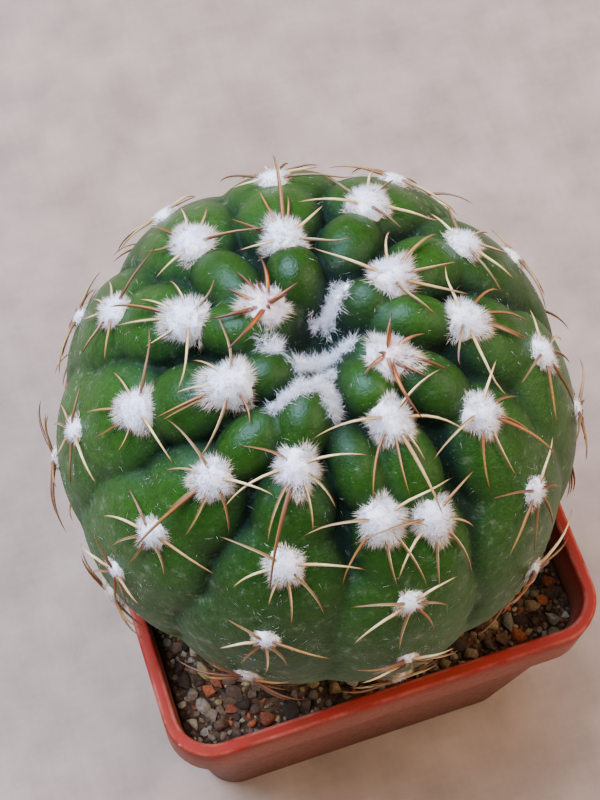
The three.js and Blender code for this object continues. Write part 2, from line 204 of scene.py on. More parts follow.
def apply_modifier(piece, kind, **settings):
    """Add a modifier to the piece and apply it."""
    bpy.context.view_layer.objects.active = piece
    modifier = piece.modifiers.new(kind.lower(), kind)
    for name, value in settings.items():
        setattr(modifier, name, value)
    bpy.ops.object.modifier_apply(modifier=modifier.name)


def round_edges(piece, width_mm, segments):
    """Round every sharp edge of the piece."""
    apply_modifier(
        piece, "BEVEL", width=width_mm * MM, segments=segments, limit_method="ANGLE",
        angle_limit=math.radians(SHARP_EDGE), harden_normals=False,
    )


def carve(piece, cutter):
    """Cut an object's shape out of the piece, and remove the object."""
    apply_modifier(piece, "BOOLEAN", operation="DIFFERENCE", object=cutter)
    bpy.data.objects.remove(cutter)


def select_only(piece):
    """Select a finished mesh for the operators that smooth its shading."""
    deselect_all()
    piece.select_set(True)
    bpy.context.view_layer.objects.active = piece


def read_points(piece):
    """The piece's points as an array."""
    points = np.empty(len(piece.data.vertices) * 3)
    piece.data.vertices.foreach_get("co", points)
    return points.reshape(-1, 3)


def write_attribute(piece, name, values):
    """Store a value for each point of the piece, for its material."""
    attribute = piece.data.attributes.new(name, "FLOAT", "POINT")
    attribute.data.foreach_set("value", np.asarray(values, float).ravel())


deselect_all()
bpy.ops.mesh.primitive_plane_add(size=2 * BASE_HALF_MM * MM)
pot = bpy.context.object
pot.name = "pot_shell"
bpy.ops.object.mode_set(mode="EDIT")
bpy.ops.mesh.select_all(action="SELECT")
bpy.ops.mesh.bevel(offset=BASE_CORNER_MM * MM, affect="VERTICES", segments=10)
bpy.ops.mesh.select_all(action="SELECT")
collar_half = RIM_HALF_MM - COLLAR_STEP_MM
draw_up(POT_HEIGHT_MM - COLLAR_HEIGHT_MM, collar_half / BASE_HALF_MM)
draw_up(0, RIM_HALF_MM / collar_half)
draw_up(COLLAR_HEIGHT_MM, 1)
bpy.ops.mesh.inset(thickness=LIP_MM * MM)
draw_up(FLOOR_THICKNESS_MM - POT_HEIGHT_MM, INSIDE_BASE_HALF_MM / (RIM_HALF_MM - LIP_MM))
bpy.ops.mesh.select_all(action="SELECT")
bpy.ops.mesh.normals_make_consistent(inside=False)
bpy.ops.object.mode_set(mode="OBJECT")
round_edges(pot, POT_EDGE_MM, 4)

groove_run = BASE_HALF_MM - DRAIN_REACH_MM + GROOVE_OVERRUN_MM
for side in range(4):
    turn = Matrix.Rotation(math.radians(90 * side), 4, "Z")
    deselect_all()
    bpy.ops.mesh.primitive_cylinder_add(
        vertices=32, radius=DRAIN_RADIUS_MM * MM, depth=6 * FLOOR_THICKNESS_MM * MM,
        location=turn @ Vector((DRAIN_REACH_MM * MM, 0, 0)),
    )
    carve(pot, bpy.context.object)
    deselect_all()
    bpy.ops.mesh.primitive_cube_add(
        size=1, location=turn @ Vector(((DRAIN_REACH_MM + groove_run / 2) * MM, 0, 0)),
        rotation=(0, 0, math.radians(90 * side)),
        scale=(groove_run * MM, GROOVE_WIDTH_MM * MM, 2 * GROOVE_DEPTH_MM * MM),
    )
    carve(pot, bpy.context.object)

select_only(pot)
round_edges(pot, DRAIN_EDGE_MM, 2)
bpy.ops.object.shade_smooth_by_angle(angle=math.radians(SMOOTH_BELOW))

below_top = POT_HEIGHT_MM - read_points(pot)[:, 2] / MM
high, low = RIM_WEAR_AND_HIGHLIGHT_BELOW_TOP_MM
write_attribute(pot, "rim", (below_top > high) & (below_top < low))

# Polypropylene, injection moulded: a waxy half gloss, slow flow streaks in the red, pale scuffs and
# specks of pale dust. The lip's edges are rubbed pale, partly wear and partly a painted highlight.
# The walls under the lip are paler, partly dust and partly a painted bounce of warm light from the
# floor, and they are painted darker towards the ground as painted shade.
plastic, plastic_shader, place = new_material("moulded_red_polypropylene", {
    "IOR": 1.49, "Specular IOR Level": 0.08, "Subsurface Weight": 0.12,
    "Subsurface Radius": (0.004, 0.0012, 0.0008), "Subsurface Scale": 1.0,
})
drawn = add_node(plastic, "Mapping", {"Scale": (1, 1, FLOW_SQUASH)}, {"Vector": place})
flow = add_node(
    plastic, "TexNoise", {"Scale": 1 / (MOULD_FLOW_MM * MM), "Detail": 5.0}, {"Vector": drawn}
)
red = add_node(plastic, "ValToRGB", {"stops": [(0.3, POT_FADED), (0.62, POT_RED)]}, {"Fac": flow})
specks = add_node(plastic, "TexVoronoi", {"Scale": 1 / (DUST_MM * MM)}, {"Vector": place})
speck = add_node(
    plastic, "MapRange", {"From Min": 0.10, "From Max": 0.16, "To Min": 0.75, "To Max": 0.0},
    {"Value": specks},
)
chance = add_node(plastic, "SeparateColor", None, {"Color": specks.outputs["Color"]})
rare = add_node(plastic, "MapRange", {"From Min": 0.86, "From Max": 0.92}, {"Value": chance})
speckled = add_node(plastic, "Math", {"operation": "MULTIPLY"}, {0: speck, 1: rare})
rubbed = add_node(plastic, "Mapping", {"Scale": (WEAR_SQUASH, WEAR_SQUASH, 1.0)}, {"Vector": place})
wear = add_node(
    plastic, "TexNoise", {"Scale": 1 / (WEAR_MM * MM), "Detail": 8.0, "Roughness": 0.72}, {"Vector": rubbed}
)
worn = add_node(plastic, "MapRange", {"From Min": 0.62, "From Max": 0.76, "To Max": 0.16}, {"Value": wear})
height = add_node(plastic, "SeparateXYZ", None, {"Vector": place}).outputs["Z"]
haze = add_node(plastic, "TexNoise", {"Scale": 1 / (HAZE_MM * MM), "Detail": 6.0}, {"Vector": place})
# Under the lip the walls are paler: partly dust, and partly a painted bounce of warm light from the floor.
under_lip = add_node(
    plastic, "MapRange", {"From Min": DUST_AND_BOUNCE_FADE_MM[0] * MM, "From Max": DUST_AND_BOUNCE_FADE_MM[1] * MM},
    {"Value": height},
)
settled = add_node(
    plastic, "MapRange", {"From Min": 0.3, "From Max": 0.7, "To Min": 0.4, "To Max": 0.54}, {"Value": haze}
)
wall_dust_and_bounce = add_node(plastic, "Math", {"operation": "MULTIPLY"}, {0: under_lip, 1: settled})
# Painted shade: the walls are painted darker towards the ground, with a wandering edge.
uneven = add_node(
    plastic, "Math", {"operation": "MULTIPLY_ADD", 1: LOW_SHADE_WANDER_MM * MM}, {0: haze, 2: height}
)
dirt_and_painted_shade = add_node(
    plastic, "MapRange",
    {"From Min": LOW_SHADE_FADE_MM[0] * MM, "From Max": LOW_SHADE_FADE_MM[1] * MM, "To Max": 0.68},
    {"Value": uneven},
)
rim = add_node(plastic, "Attribute", {"attribute_name": "rim"}).outputs["Fac"]
# The pale band on the lip's edges is partly wear and partly a painted highlight along them.
patchy = add_node(plastic, "MapRange", {"From Min": 0.42, "From Max": 0.62, "To Max": 0.36}, {"Value": wear})
rim_wear_and_highlight = add_node(plastic, "Math", {"operation": "MULTIPLY"}, {0: rim, 1: patchy})
coated = red
for share, coat in (
    (speckled, POT_SCUFF), (worn, POT_SCUFF), (wall_dust_and_bounce, POT_DUST_AND_BOUNCE), (dirt_and_painted_shade, POT_LOW_SHADE),
    (rim_wear_and_highlight, POT_SCUFF),
):
    coated = add_node(
        plastic, "Mix", {"data_type": "RGBA", "B": linear(coat)}, {"Factor": share, "A": coated}
    )
link(plastic, coated, plastic_shader, "Base Color")
scuff = add_node(
    plastic, "TexNoise", {"Scale": 1 / (SCUFF_MM * MM), "Detail": 6.0, "Roughness": 0.7}, {"Vector": place}
)
shine = add_node(
    plastic, "MapRange", {"From Min": 0.3, "From Max": 0.7, "To Min": 0.38, "To Max": 0.6}, {"Value": scuff}
)
link(plastic, shine, plastic_shader, "Roughness")
relief = add_node(plastic, "Bump", {"Strength": 0.14, "Distance": 0.1 * MM}, {"Height": scuff})
link(plastic, relief, plastic_shader, "Normal")
pot.data.materials.append(plastic)
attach(pot, "root")
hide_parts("pot")


# Potting mix
# A dark crumbly mix of peat and bark that fills the pot to just under the collar's top. Its surface
# is lumpy and rises a little where the plant sits in it.
PLANT_MM = np.array([-1.6, 1.9, 89.6])
SOIL_TOP_MM = 57.5
SOIL_CLEARANCE_MM = 0.3
SOIL_CORNER_MM = 4.7
SOIL_CELLS = 140
MIX_DARK = "#302218"
MIX_BROWN = "#68533f"
MIX_SINK_MM = 0.4
LUMP_MM = 4.5
LUMP_HEIGHT_MM = 0.9
LUMP_NOISE = (0.9, 2.2, 4)
CRUMB_MM = 1.1
CRUMB_HEIGHT_MM = 0.25
RISE_MM = 1.5
RISE_REACH_MM = 21


def between(low, high, share):
    """The value that lies this share of the way from low to high."""
    return low + (high - low) * share


def write_points(piece, points):
    """Move the piece's points to those of an array."""
    piece.data.vertices.foreach_set("co", np.asarray(points, float).ravel())
    piece.data.update()


def corner_pull(x, y, half, corner):
    """How far a point of a square of that half width moves in, so that its corners are round."""
    past = np.maximum(np.abs(x) - (half - corner), 0), np.maximum(np.abs(y) - (half - corner), 0)
    reach = np.hypot(*past)
    edge = np.maximum(np.abs(x), np.abs(y))
    return np.where(reach > 0, np.clip(1 - (reach - corner) / half * (edge / half) ** 6, 0, 1), 1)


def soil_height_mm(x, y):
    """Height of the mix at a place: lumps and crumbs, and a slight rise round the plant."""
    lumps = noise.fractal(Vector((x, y, 3.0)) / LUMP_MM, *LUMP_NOISE)
    crumbs = noise.noise(Vector((x, y, 9.0)) / CRUMB_MM)
    rise = RISE_MM * math.exp(-(math.hypot(x - PLANT_MM[0], y - PLANT_MM[1]) / RISE_REACH_MM) ** 4)
    return SOIL_TOP_MM - MIX_SINK_MM + LUMP_HEIGHT_MM * lumps + CRUMB_HEIGHT_MM * crumbs + rise


depth_share = (POT_HEIGHT_MM - SOIL_TOP_MM) / (POT_HEIGHT_MM - FLOOR_THICKNESS_MM)
inside_half = between(RIM_HALF_MM - LIP_MM, INSIDE_BASE_HALF_MM, depth_share)
soil_half = inside_half - SOIL_CLEARANCE_MM
deselect_all()
bpy.ops.mesh.primitive_grid_add(
    x_subdivisions=SOIL_CELLS, y_subdivisions=SOIL_CELLS, size=2 * soil_half * MM,
    location=(0, 0, SOIL_TOP_MM * MM),
)
bed = bpy.context.object
bed.name = "potting_mix"
bpy.ops.object.transform_apply(location=True, rotation=True, scale=True)
points = read_points(bed)
points[:, :2] *= corner_pull(points[:, 0] / MM, points[:, 1] / MM, soil_half, SOIL_CORNER_MM)[:, None]
write_points(bed, points)
bpy.ops.object.mode_set(mode="EDIT")
bpy.ops.mesh.select_all(action="DESELECT")
bpy.ops.mesh.select_non_manifold()
foot_scale = (INSIDE_BASE_HALF_MM - SOIL_CLEARANCE_MM) / soil_half
draw_up(FLOOR_THICKNESS_MM + SOIL_CLEARANCE_MM - SOIL_TOP_MM, foot_scale)
bpy.ops.mesh.edge_face_add()
bpy.ops.mesh.select_all(action="SELECT")
bpy.ops.mesh.normals_make_consistent(inside=False)
bpy.ops.object.mode_set(mode="OBJECT")
points = read_points(bed)
for point in points:
    if point[2] > (SOIL_TOP_MM - 1) * MM:
        point[2] = soil_height_mm(point[0] / MM, point[1] / MM) * MM
write_points(bed, points)
bpy.ops.object.shade_smooth()

# Peat and bark crumbs with no gloss: brown, and nearly black in the hollows of their relief as painted
# shade.
mix, mix_shader, place = new_material("peat_and_bark_mix", {
    "Roughness": 0.95, "Specular IOR Level": 0.25,
})
crumbs = add_node(
    mix, "TexNoise", {"Scale": 1 / (CRUMB_MM * MM), "Detail": 6.0, "Roughness": 0.65}, {"Vector": place}
)
# Painted shade: the mix is darkest where its relief is lowest.
brown = add_node(mix, "ValToRGB", {"stops": [(0.4, MIX_DARK), (0.7, MIX_BROWN)]}, {"Fac": crumbs})
link(mix, brown, mix_shader, "Base Color")
relief = add_node(mix, "Bump", {"Strength": 0.9, "Distance": 0.6 * MM}, {"Height": crumbs})
link(mix, relief, mix_shader, "Normal")
bed.data.materials.append(mix)
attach(bed, "root")
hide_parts("soil")


# Grit
# Crushed stone of 1 to 4 mm, thrown over the mix as a top dressing: lava, pumice, flint, quartz
# and fired clay. Each chip lies where it fell and is sunk a third into the mix.
CHIP_LARGE_MM = 1.5
CHIP_SMALL_MM = 0.42
CHIP_VARIES = (0.85, 1.1)
CHIP_TRIES = 20000
CHIP_RARITY = 7
CHIP_SHAPES = 6
CHIP_ROUGHNESS = 0.34
CHIP_WIDTH = (0.65, 1)
CHIP_THICKNESS = (0.5, 0.8)
CHIP_CLOSENESS = 0.74
CHIP_LIFT = 0.2
CHIP_SMOOTH_BELOW = 62
CHIP_EDGE_ROOM = 0.9
CHIP_PLANT_ROOM = 1.5
GRIT_CORNER_MM = 4
GRIT_FREE_MM = 17
GRIT_GRAIN_MM = 0.5
GRIT_COLOURS = [
    "#33261d", "#56412f", "#63503c", "#7f6d50", "#3d2c21", "#847868", "#6b5642", "#33291f",
    "#989078", "#7c412a", "#6b5947", "#71634f", "#523f30", "#94502e", "#88784f", "#6a675a",
    "#221a14", "#a09468", "#5c483a", "#8d846c",
]


def build_piece(name, points, faces):
    """A mesh object from an array of points and a list of faces."""
    mesh = bpy.data.meshes.new(name)
    mesh.from_pydata(np.asarray(points, float).tolist(), [], faces)
    mesh.update()
    piece = bpy.data.objects.new(name, mesh)
    bpy.context.scene.collection.objects.link(piece)
    select_only(piece)
    return piece


def take_shape(part):
    """The points and faces of an object that only serves as a pattern, which is then removed."""
    shape = read_points(part), [tuple(face.vertices) for face in part.data.polygons]
    bpy.data.objects.remove(part)
    return shape


def chip_shape(seed):
    """Points and faces of one crushed chip: a rough ball whose points are thrown about and hulled."""
    deselect_all()
    bpy.ops.mesh.primitive_ico_sphere_add(subdivisions=1, radius=1)
    bpy.ops.object.mode_set(mode="EDIT")
    bpy.ops.mesh.select_all(action="SELECT")
    bpy.ops.transform.vertex_random(offset=CHIP_ROUGHNESS, uniform=1.0, seed=seed)
    bpy.ops.mesh.convex_hull()
    bpy.ops.mesh.normals_make_consistent(inside=False)
    bpy.ops.object.mode_set(mode="OBJECT")
    return take_shape(bpy.context.object)


rng = np.random.default_rng(7)
shapes = [chip_shape(seed) for seed in range(CHIP_SHAPES)]
laid = np.empty((0, 3))
for attempt in range(CHIP_TRIES):
    size = between(CHIP_SMALL_MM, CHIP_LARGE_MM, (1 - attempt / CHIP_TRIES) ** CHIP_RARITY)
    size *= rng.uniform(*CHIP_VARIES)
    reach = soil_half - size * CHIP_EDGE_ROOM
    x, y = rng.uniform(-reach, reach, 2)
    straight = reach - GRIT_CORNER_MM
    if math.hypot(max(abs(x) - straight, 0), max(abs(y) - straight, 0)) > GRIT_CORNER_MM:
        continue
    if math.hypot(x - PLANT_MM[0], y - PLANT_MM[1]) < GRIT_FREE_MM + CHIP_PLANT_ROOM * size:
        continue
    gaps = np.hypot(laid[:, 0] - x, laid[:, 1] - y) - CHIP_CLOSENESS * (laid[:, 2] + size)
    if len(laid) and gaps.min() < 0:
        continue
    laid = np.vstack([laid, (x, y, size)])

chip_points, chip_faces, chip_tones = [], [], []
for number, (x, y, size) in enumerate(laid):
    shape, faces = shapes[number % CHIP_SHAPES]
    turn = Matrix.Rotation(rng.uniform(0, 2 * math.pi), 3, rng.normal(size=3))
    stretch = np.array([1, rng.uniform(*CHIP_WIDTH), rng.uniform(*CHIP_THICKNESS)]) * size
    about = np.array(Matrix.Rotation(rng.uniform(0, 2 * math.pi), 3, "Z"))
    height = soil_height_mm(x, y) + size * CHIP_LIFT
    points = (shape @ np.array(turn).T * stretch) @ about.T + (x, y, height)
    first = sum(len(block) for block in chip_points)
    chip_points.append(points * MM)
    chip_faces += [tuple(first + corner for corner in face) for face in faces]
    chip_tones.append(np.full(len(points), rng.uniform()))
grit = build_piece("grit", np.vstack(chip_points), chip_faces)
bpy.ops.object.shade_smooth_by_angle(angle=math.radians(CHIP_SMOOTH_BELOW))
write_attribute(grit, "tone", np.concatenate(chip_tones))

# Crushed stone: dull, dusty and each chip of its own colour, with grain that shows on the faces.
stone, stone_shader, place = new_material("crushed_stone_grit", {
    "Roughness": 0.85, "Specular IOR Level": 0.35,
})
tone = add_node(stone, "Attribute", {"attribute_name": "tone"}).outputs["Fac"]
kinds = [(number / len(GRIT_COLOURS), colour) for number, colour in enumerate(GRIT_COLOURS)]
kind = add_node(stone, "ValToRGB", {"stops": kinds}, {"Fac": tone})
kind.color_ramp.interpolation = "CONSTANT"
grain = add_node(stone, "TexNoise", {"Scale": 1 / (GRIT_GRAIN_MM * MM), "Detail": 5.0}, {"Vector": place})
shade = add_node(
    stone, "MapRange", {"From Min": 0.3, "From Max": 0.7, "To Min": 0.55, "To Max": 1.25}, {"Value": grain}
)
grained = add_node(
    stone, "Mix", {"data_type": "RGBA", "blend_type": "MULTIPLY", "Factor": 1.0}, {"A": kind, "B": shade}
)
link(stone, grained, stone_shader, "Base Color")
relief = add_node(stone, "Bump", {"Strength": 0.6, "Distance": 0.2 * MM}, {"Height": grain})
link(stone, relief, stone_shader, "Normal")
grit.data.materials.append(stone)
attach(grit, "root")


# Flesh
# The plant's green body: a ball of ribs, each a row of swellings that meet in furrows, with a notch
# under each tuft of felt. The skin is smooth and waxy, and its shape is the CAD's, cut finer.
BODY_RADIUS_MM = 37.4
BODY_FLATTEN = 0.96
CROWN_DIP_MM = 4.0
CROWN_DIP_ANGLE = 11.0
HOLLOW_EDGE = (4, 12)
HOLLOW_SHADE = 0.9
FURROW_FLOOR_MM = 4.6
CREASE_SHARPNESS = 4.0
SWELLING_OVERLAP = 1.07
SWELLING_HALF_WIDTH_MM = (3.4, 4.5)
SWELLING_UNEVEN_MM = 0.35
SWELLING_LEAN = 0.12
FIRST_SWELLING = 0.64
LAST_SWELLING = 150
INNER_FADE = (7, 12)
INNER_DROP_MM = 2.6
INNER_RISE = (2, 16)
SWELLING_FADE = (20, 82)
SWELLING_LENGTH = (1.04, 2.2)
SWELLING_DEPTH_MM = (5.2, 2.2)
FOOT_DEPTH_MM = 1.7
FOOT_FADE = (84, 112)
MOUND_RADIUS_MM = 3.2
MOUND_TOP_MM = (-1.2, -0.5)
MOUND_FADE = (30, 90)
MOUND_FALL_MM = 2.2
BODY_SEAT_MM = SOIL_TOP_MM + 1.4
LAST_AREOLE = 113
RIB_KNOTS = (20, 50, 85)
# Direction of each rib beside the crown, on the shoulder and at the foot, then the angle from the
# crown to its first areole, the step to the next, and where a short rib ends.
RIBS = [
    (131, 116, 111, 14, 25, None),
    (93, 85, 79, 25, 25, None),
    (58, 53, 47, 37, 21, None),
    (24, 21, 14, 20, 24, None),
    (-5, -13, -22, 32, 22, None),
    (-40, -45, -56, 15, 23, None),
    (-71, -77, -82, 24, 22, 60),
    (-98, -89, -90, 42, 20.5, None),
    (-121, -118, -123, 30, 20.5, None),
    (-138, -150, -158, 39, 19, None),
    (-166, -182, -189, 23, 21, None),
    (-204, -213, -220, 30, 21.5, None),
]
FLESH_YOUNG = "#1a3703"
FLESH_GREEN = "#204309"
FLESH_OLD = "#325726"
FLESH_FURROW_SHADE = "#040e09"
FLESH_BLOOM = "#616f55"
FLESH_DUST = "#8c987e"
FLESH_SHINE = "#c4e6f2"
MOTTLE_MM = 5
GRIME_MM = 2.4
SPECK_MM = 0.7
CELL_MM = 0.8
PORE_MM = 0.38


def draw(item, part, use):
    """A fixed draw between 0 and 1 for one part and one use of it, the same as the CAD's."""
    wave = math.sin(item * 12.9898 + part * 78.233 + use * 37.719) * 43758.5453
    return wave - math.floor(wave)


def ramp(value, low, high):
    """Smooth step from 0 at low to 1 at high."""
    t = np.clip((value - low) / (high - low), 0, 1)
    return t * t * (3 - 2 * t)


def rib_azimuth(rib, polar):
    """Direction of a rib at an angle from the crown."""
    low, middle, high = RIB_KNOTS
    p = min(polar, high)
    return (
        rib[0] * (p - middle) * (p - high) / ((low - middle) * (low - high))
        + rib[1] * (p - low) * (p - high) / ((middle - low) * (middle - high))
        + rib[2] * (p - low) * (p - middle) / ((high - low) * (high - middle))
    )


def direction(azimuth, polar):
    """The ray from the body's middle in a direction, at an angle from the crown."""
    a, p = np.radians(azimuth), np.radians(polar)
    return np.stack([np.sin(p) * np.cos(a), np.sin(p) * np.sin(a), np.cos(p) + 0 * a], axis=-1)


def unit(vectors):
    """The same directions, each of length 1."""
    return vectors / np.linalg.norm(vectors, axis=-1, keepdims=True)


def polar_angles(rays):
    """The angle of each ray from the crown."""
    return np.degrees(np.arccos(np.clip(rays[:, 2], -1, 1)))


def rib_frame(rib, polar):
    """A place on a rib and its outward and sideways directions on the skin."""
    centre = direction(rib_azimuth(rib, polar), polar)
    along = direction(rib_azimuth(rib, polar + 1), polar + 1) - centre
    along = unit(along - centre * (along @ centre))
    return {"centre": centre, "along": along, "across": np.cross(along, centre), "polar": polar}


def rib_half_width_mm(index, polar):
    """Half the width of a rib, from the gaps to its neighbours."""
    present = [rib for i, rib in enumerate(RIBS) if not rib[5] or polar < rib[5] or i == index]
    here = present.index(RIBS[index])
    azimuth = rib_azimuth(RIBS[index], polar)
    beside = [rib_azimuth(present[other % len(present)], polar) for other in (here - 1, here + 1)]
    gaps = [abs((other - azimuth + 540) % 360 - 180) for other in beside]
    width = math.radians(sum(gaps) / 4) * math.sin(math.radians(polar)) * BODY_RADIUS_MM
    return max(width * SWELLING_OVERLAP, between(*SWELLING_HALF_WIDTH_MM, ramp(polar, *INNER_FADE)))


areoles = []
swellings = []
for index, rib in enumerate(RIBS):
    first, step, end = rib[3:]
    for polar in np.arange(first, min(LAST_AREOLE, end or 180), step):
        areoles.append({**rib_frame(rib, polar), "number": len(areoles)})
    for middle in np.arange(first - step / 2, min(LAST_SWELLING, (end or LAST_SWELLING) + step / 2), step):
        polar = max(middle, first * FIRST_SWELLING)
        fade = ramp(polar, *SWELLING_FADE)
        number = len(swellings)
        half_step = min(step / 2, abs(first - polar))
        uneven = between(-SWELLING_UNEVEN_MM, SWELLING_UNEVEN_MM, draw(number, 1, 2)) * (1 - fade)
        swellings.append({
            **rib_frame(rib, polar),
            "width": rib_half_width_mm(index, polar),
            "length": math.radians(half_step) * BODY_RADIUS_MM * between(*SWELLING_LENGTH, fade),
            "depth": between(between(*SWELLING_DEPTH_MM, fade), FOOT_DEPTH_MM, ramp(polar, *FOOT_FADE)),
            "top": uneven - INNER_DROP_MM * (1 - ramp(polar, *INNER_RISE)),
            "tone": draw(number, 2, 8),
        })


def skin_mm(rays):
    """Distance from the body's middle to its skin along each ray, its relief, and a tone per swelling."""
    weights = np.full(len(rays), math.exp(-CREASE_SHARPNESS * FURROW_FLOOR_MM))
    tones = weights * 0.5
    for part in swellings:
        side = rays - part["centre"]
        x = side @ part["across"] * BODY_RADIUS_MM / part["width"]
        y = side @ part["along"] * BODY_RADIUS_MM / part["length"]
        q = np.hypot(x * (1 - SWELLING_LEAN * y), y)
        cap = np.where(q < 1, np.sqrt(np.maximum(1 - q ** 2, 0)), 3 - 3 * q)
        near = (side ** 2).sum(axis=1) < 0.5
        weight = np.where(near, np.exp(CREASE_SHARPNESS * (part["top"] - part["depth"] * (1 - cap))), 0)
        weights += weight
        tones += weight * part["tone"]
    for part in areoles:
        reach = np.linalg.norm(rays - part["centre"], axis=1) * BODY_RADIUS_MM / MOUND_RADIUS_MM
        height = between(*MOUND_TOP_MM, ramp(part["polar"], *MOUND_FADE)) - MOUND_FALL_MM * reach ** 2
        weight = np.where(reach < 2, np.exp(CREASE_SHARPNESS * height), 0)
        weights += weight
        tones += weight * 0.5
    relief_mm = np.log(weights) / CREASE_SHARPNESS
    ball = BODY_RADIUS_MM / np.linalg.norm(rays / (1, 1, BODY_FLATTEN), axis=1)
    dip = CROWN_DIP_MM * np.exp(-((polar_angles(rays) / CROWN_DIP_ANGLE) ** 2))
    seat = np.where(rays[:, 2] < -1e-6, (PLANT_MM[2] - BODY_SEAT_MM) / np.maximum(-rays[:, 2], 1e-6), 1e9)
    return np.minimum(ball - dip + relief_mm, seat), relief_mm, tones / weights


def at_skin(rays, lift_mm=0):
    """The places where rays meet the skin, in metres, lifted off it by that much."""
    return (PLANT_MM + rays * (skin_mm(rays)[0] + lift_mm)[:, None]) * MM


deselect_all()
bpy.ops.mesh.primitive_cube_add(size=2)
flesh = bpy.context.object
flesh.name = "flesh"
bpy.ops.object.mode_set(mode="EDIT")
bpy.ops.mesh.select_all(action="SELECT")
bpy.ops.mesh.subdivide(number_cuts=29)
bpy.ops.mesh.subdivide(number_cuts=3)
bpy.ops.object.mode_set(mode="OBJECT")
rays = unit(np.tan(read_points(flesh) * math.pi / 4))
reach_mm, relief_mm, egg_tone = skin_mm(rays)
write_points(flesh, (PLANT_MM + rays * reach_mm[:, None]) * MM)
bpy.ops.object.shade_smooth()
polar = polar_angles(rays)
# Painted shade: the crown's hollow counts as a furrow, so it is painted dark like them.
hollow_shade = HOLLOW_SHADE * (1 - ramp(polar, *HOLLOW_EDGE))
write_attribute(flesh, "furrow", np.maximum(np.clip(-relief_mm / FURROW_FLOOR_MM, 0, 1), hollow_shade))
write_attribute(flesh, "age", polar / 180)
write_attribute(flesh, "egg_tone", egg_tone)

# Cactus skin: green flesh under a waxy cuticle. New growth by the crown is yellow green, the
# shoulder deep green, and the foot dulls to olive under a greyish bloom. Wax gives a soft sky gloss.
# The real cells and pores are finer than a pixel, so they are drawn as coarse as they need to show.
skin, skin_shader, place = new_material("waxy_cactus_skin", {
    "IOR": 1.42, "Specular IOR Level": 0.37, "Specular Tint": linear(FLESH_SHINE), "Subsurface Weight": 0.08,
    "Subsurface Radius": (0.0012, 0.003, 0.0006), "Subsurface Scale": 1.0,
})
age, furrow, egg = [
    add_node(skin, "Attribute", {"attribute_name": name}).outputs["Fac"]
    for name in ("age", "furrow", "egg_tone")
]
mottle = add_node(skin, "TexNoise", {"Scale": 1 / (MOTTLE_MM * MM), "Detail": 5.0}, {"Vector": place})
wander = add_node(skin, "Math", {"operation": "MULTIPLY_ADD", 1: 0.10, 2: -0.05}, {0: mottle})
aged = add_node(skin, "Math", {"operation": "ADD"}, {0: age, 1: wander})
green = add_node(
    skin, "ValToRGB",
    {"stops": [(0.06, FLESH_YOUNG), (0.24, FLESH_GREEN), (0.42, FLESH_GREEN), (0.58, FLESH_OLD)]},
    {"Fac": aged},
)
brighter = add_node(skin, "MapRange", {"To Min": 0.82, "To Max": 1.22}, {"Value": egg})
varied = add_node(
    skin, "Mix", {"data_type": "RGBA", "blend_type": "MULTIPLY", "Factor": 1.0}, {"A": green, "B": brighter}
)
# Painted shade: the deeper the furrow, the nearer the colour goes to near black.
furrow_shade = add_node(skin, "MapRange", {"From Min": 0.15, "From Max": 0.7, "To Max": 0.9}, {"Value": furrow})
pits = add_node(skin, "TexVoronoi", {"Scale": 1 / (SPECK_MM * MM)}, {"Vector": place})
dot = add_node(
    skin, "MapRange", {"From Min": 0.08, "From Max": 0.17, "To Min": 0.6, "To Max": 0.0}, {"Value": pits}
)
chance = add_node(skin, "SeparateColor", None, {"Color": pits.outputs["Color"]})
chosen = add_node(skin, "MapRange", {"From Min": 0.25, "From Max": 0.85}, {"Value": chance})
fleck = add_node(skin, "Math", {"operation": "MULTIPLY"}, {0: dot, 1: chosen})
bloom = add_node(skin, "MapRange", {"From Min": 0.28, "From Max": 0.6, "To Max": 0.3}, {"Value": aged})
dirt_and_painted_shade = add_node(
    skin, "TexNoise", {"Scale": 1 / (GRIME_MM * MM), "Detail": 7.0, "Roughness": 0.78}, {"Vector": place}
)
patches = add_node(
    skin, "MapRange", {"From Min": 0.38, "From Max": 0.62, "To Min": 0.1, "To Max": 1.9}, {"Value": dirt_and_painted_shade}
)
powdered = add_node(skin, "Math", {"operation": "MULTIPLY"}, {0: bloom, 1: patches})
marks = add_node(skin, "MapRange", {"From Min": 0.56, "From Max": 0.7, "To Max": 0.6}, {"Value": dirt_and_painted_shade})
lower = add_node(skin, "MapRange", {"From Min": 0.2, "From Max": 0.5, "To Min": 0.15}, {"Value": age})
marked = add_node(skin, "Math", {"operation": "MULTIPLY"}, {0: marks, 1: lower})
coated = varied
for share, coat in (
    (furrow_shade, FLESH_FURROW_SHADE), (fleck, FLESH_BLOOM), (powdered, FLESH_BLOOM), (marked, FLESH_DUST),
):
    coated = add_node(skin, "Mix", {"data_type": "RGBA", "B": linear(coat)}, {"Factor": share, "A": coated})
cells = add_node(
    skin, "TexNoise", {"Scale": 1 / (CELL_MM * MM), "Detail": 5.0, "Roughness": 0.7}, {"Vector": place}
)
grain = add_node(
    skin, "MapRange", {"From Min": 0.3, "From Max": 0.7, "To Min": 0.7, "To Max": 1.32}, {"Value": cells}
)
grained = add_node(
    skin, "Mix", {"data_type": "RGBA", "blend_type": "MULTIPLY", "Factor": 1.0}, {"A": coated, "B": grain}
)
link(skin, grained, skin_shader, "Base Color")
wax = add_node(
    skin, "MapRange", {"From Min": 0.3, "From Max": 0.7, "To Min": 0.29, "To Max": 0.4}, {"Value": mottle}
)
dull = add_node(skin, "Math", {"operation": "MULTIPLY_ADD", 1: 0.6}, {0: furrow, 2: wax})
worn = add_node(skin, "MapRange", {"From Min": 0.36, "From Max": 0.6, "To Max": 0.3}, {"Value": age})
duller = add_node(skin, "Math", {"operation": "ADD"}, {0: dull, 1: worn})
link(skin, duller, skin_shader, "Roughness")
